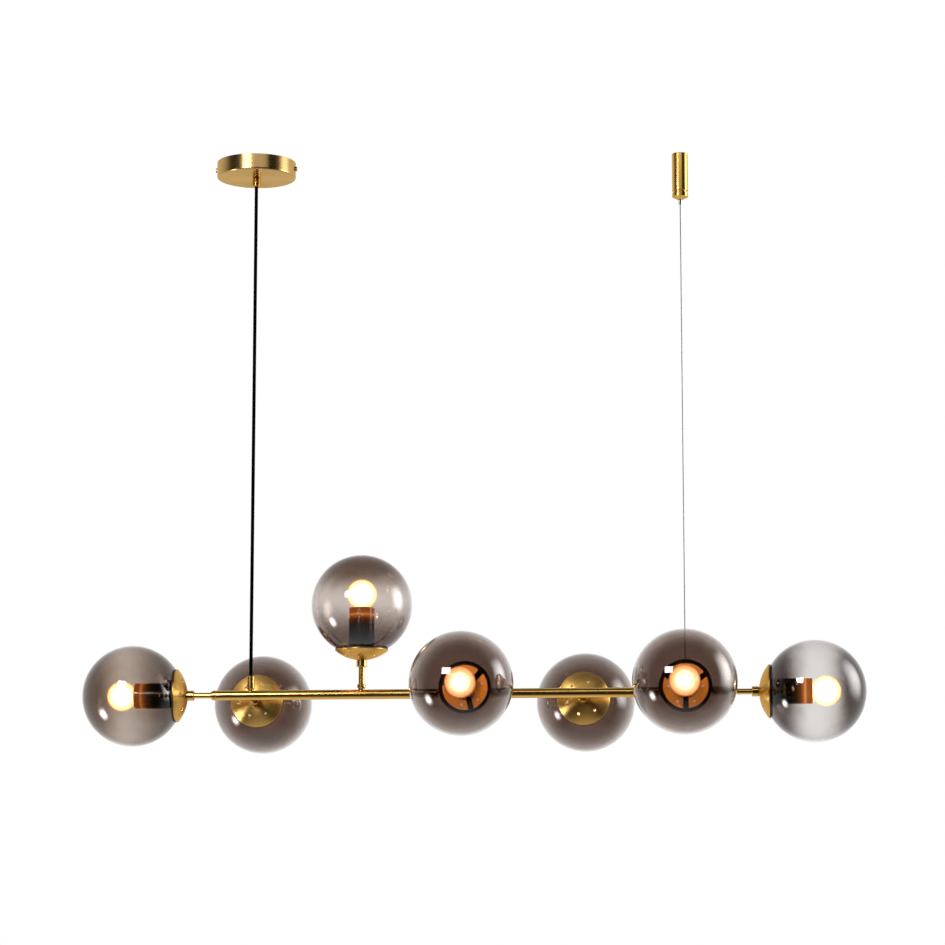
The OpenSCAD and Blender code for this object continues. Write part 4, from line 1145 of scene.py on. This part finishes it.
# %% World
def studio_world():
    world = bpy.data.worlds.new("studio")
    world.use_nodes = True
    scene.world = world
    tree = world.node_tree
    path = add(tree, "ShaderNodeLightPath").outputs
    way = add(tree, "ShaderNodeSeparateXYZ", {0: add(tree, "ShaderNodeTexCoord").outputs["Generated"]})
    behind = between(tree, way.outputs[1], 0.0, 1.0, -0.4, 0.6)
    beside = ramp(tree, behind, [(0.0, "#161514"), (0.2, "#454341"), (0.42, "#b8b5b3"), (1.0, "#ffffff")])
    level = between(tree, formula(tree, "ABSOLUTE", way.outputs[2]), 1.0, 0.5, 0.35, 0.9)
    flat = add(tree, "ShaderNodeVectorMath", {0: beside, 3: level}, operation="SCALE").outputs[0]
    below = between(tree, way.outputs[2], 0.6, 0.0, -0.95, -0.65)
    mirrored = add(tree, "ShaderNodeVectorMath", {0: flat, 1: below}).outputs[0]
    # Straight through a globe the studio is white in front and behind and grey at the sides, from every view alike.
    # Light that was mirrored on its way finds the camera's side dark, which keeps the lampholders black.
    stray = ramp(tree, way.outputs[1], [(0.72, "#3c3a38"), (0.95, "#ffffff")])
    straight = ramp(tree, formula(tree, "ABSOLUTE", way.outputs[1]), [(0.72, "#959391"), (0.95, "#ffffff")])
    turns = formula(tree, "GREATER_THAN", path["Glossy Depth"], 0.5)
    through = add(tree, "ShaderNodeMix", {0: turns, 6: straight, 7: stray}, data_type="RGBA").outputs[2]
    shown = colour("#c4c4c4")
    for kind, tone in (("Is Glossy Ray", mirrored), ("Is Transmission Ray", through), ("Is Camera Ray", (1, 1, 1, 1))):
        shown = add(tree, "ShaderNodeMix", {0: path[kind], 6: shown, 7: tone}, data_type="RGBA").outputs[2]
    tree.links.new(shown, tree.nodes["Background"].inputs["Color"])


studio_world()
print("world ready")

# %% [markdown]
# ## Floor
#
# The photograph has no visible floor, only white. A pale plane far below gives the lower sides a soft light back.
# It shines a little for the camera alone, so it is as white as the world, and reflections don't see it.


# %% Floor
def studio_floor():
    size, depth = 6.0, -2.2
    mesh = bpy.data.meshes.new("floor")
    corners = [(-size, -size, depth), (size, -size, depth), (size, size, depth), (-size, size, depth)]
    mesh.from_pydata(corners, [], [(0, 1, 2, 3)])
    material, tree, shader = new_material("pale_floor", Roughness=0.8)
    noise = add(tree, "ShaderNodeTexNoise", {"Scale": 2.0, "Detail": 3.0}).outputs["Fac"]
    tree.links.new(ramp(tree, noise, [(0.3, "#c8c6c3"), (0.7, "#cccac7")]), shader.inputs["Base Color"])
    path = add(tree, "ShaderNodeLightPath").outputs
    shader.inputs["Emission Color"].default_value = (1, 1, 1, 1)
    tree.links.new(formula(tree, "MULTIPLY", path["Is Camera Ray"], 0.75), shader.inputs["Emission Strength"])
    mesh.materials.append(material)
    floor = bpy.data.objects.new("floor", mesh)
    floor.visible_glossy = floor.visible_transmission = False
    scene.collection.objects.link(floor)


studio_floor()
print("floor ready")

# %% [markdown]
# ## Softboxes
#
# Each white spot on the globes is the mirror image of a lamp, so its shape and place tell where the lamp stood. Two
# panes side by side make the window-like spots at the upper left, a large softbox the glow on the right, and a small
# one low on the left the round spot there. A point light would give a spot without a shape. A long strip in front
# lights only the brass, because the same light on the glass would veil it.


# %% Softboxes
def softbox(name, azimuth, elevation, distance, width, height, brightness, soft=0.0):
    """A rectangular lamp aimed at the object's middle. Azimuth 0 is the camera's side and grows to the right.

    With soft, its brightness falls to nothing at its edges as (16 u (1 - u) v (1 - v)) to the power soft.
    """
    middle = np.array([0.33, 0.0, -0.8])
    a, e = np.radians(azimuth), np.radians(elevation)
    away = np.array([np.sin(a) * np.cos(e), -np.cos(a) * np.cos(e), np.sin(e)])
    light = bpy.data.lights.new(name, "AREA")
    light.shape = "RECTANGLE"
    light.size, light.size_y = width, height
    light.energy = brightness * np.pi * width * height
    if soft:
        light.use_nodes = True
        tree = light.node_tree
        across = add(tree, "ShaderNodeSeparateXYZ", {0: add(tree, "ShaderNodeTexCoord").outputs["UV"]}).outputs
        shape = 16.0
        for k in (0, 1):
            rise = formula(tree, "MULTIPLY", across[k], formula(tree, "SUBTRACT", 1.0, across[k]))
            shape = formula(tree, "MULTIPLY", shape, rise)
        tree.links.new(formula(tree, "POWER", shape, soft), tree.nodes["Emission"].inputs["Strength"])
    lamp = bpy.data.objects.new(name, light)
    lamp.location = middle + distance * away
    turn = Matrix.Rotation(np.radians(azimuth), 3, "Z") @ Matrix.Rotation(np.radians(90 - elevation), 3, "X")
    lamp.rotation_euler = turn.to_euler()
    scene.collection.objects.link(lamp)
    return lamp


# azimuth, elevation, distance, width, height, brightness
for side in (-1, 1):
    softbox("window_pane", -27 + 4.8 * side, 20, 2.6, 0.38, 0.58, 28.0)
softbox("right_softbox", 98, 14, 2.2, 1.8, 2.2, 9.0, soft=2.0)
softbox("left_spot", -79, -27, 2.6, 1.2, 1.2, 26.0, soft=4.0)
strip = softbox("brass_strip", 0, 38, 2.6, 3.2, 0.6, 2.2, soft=0.5)
lacquered = (tube_brass, spun_brass, canopy_brass)
only_on(strip, [o for o in scene.objects if o.type == "MESH" and o.active_material in lacquered])
# a ray may cross several globes, each with four skins, before it reaches the studio
scene.cycles.max_bounces = 24
scene.cycles.transmission_bounces = 24
scene.cycles.glossy_bounces = 12
scene.cycles.transparent_max_bounces = 32
scene.cycles.use_denoising = True
print("lamps set")
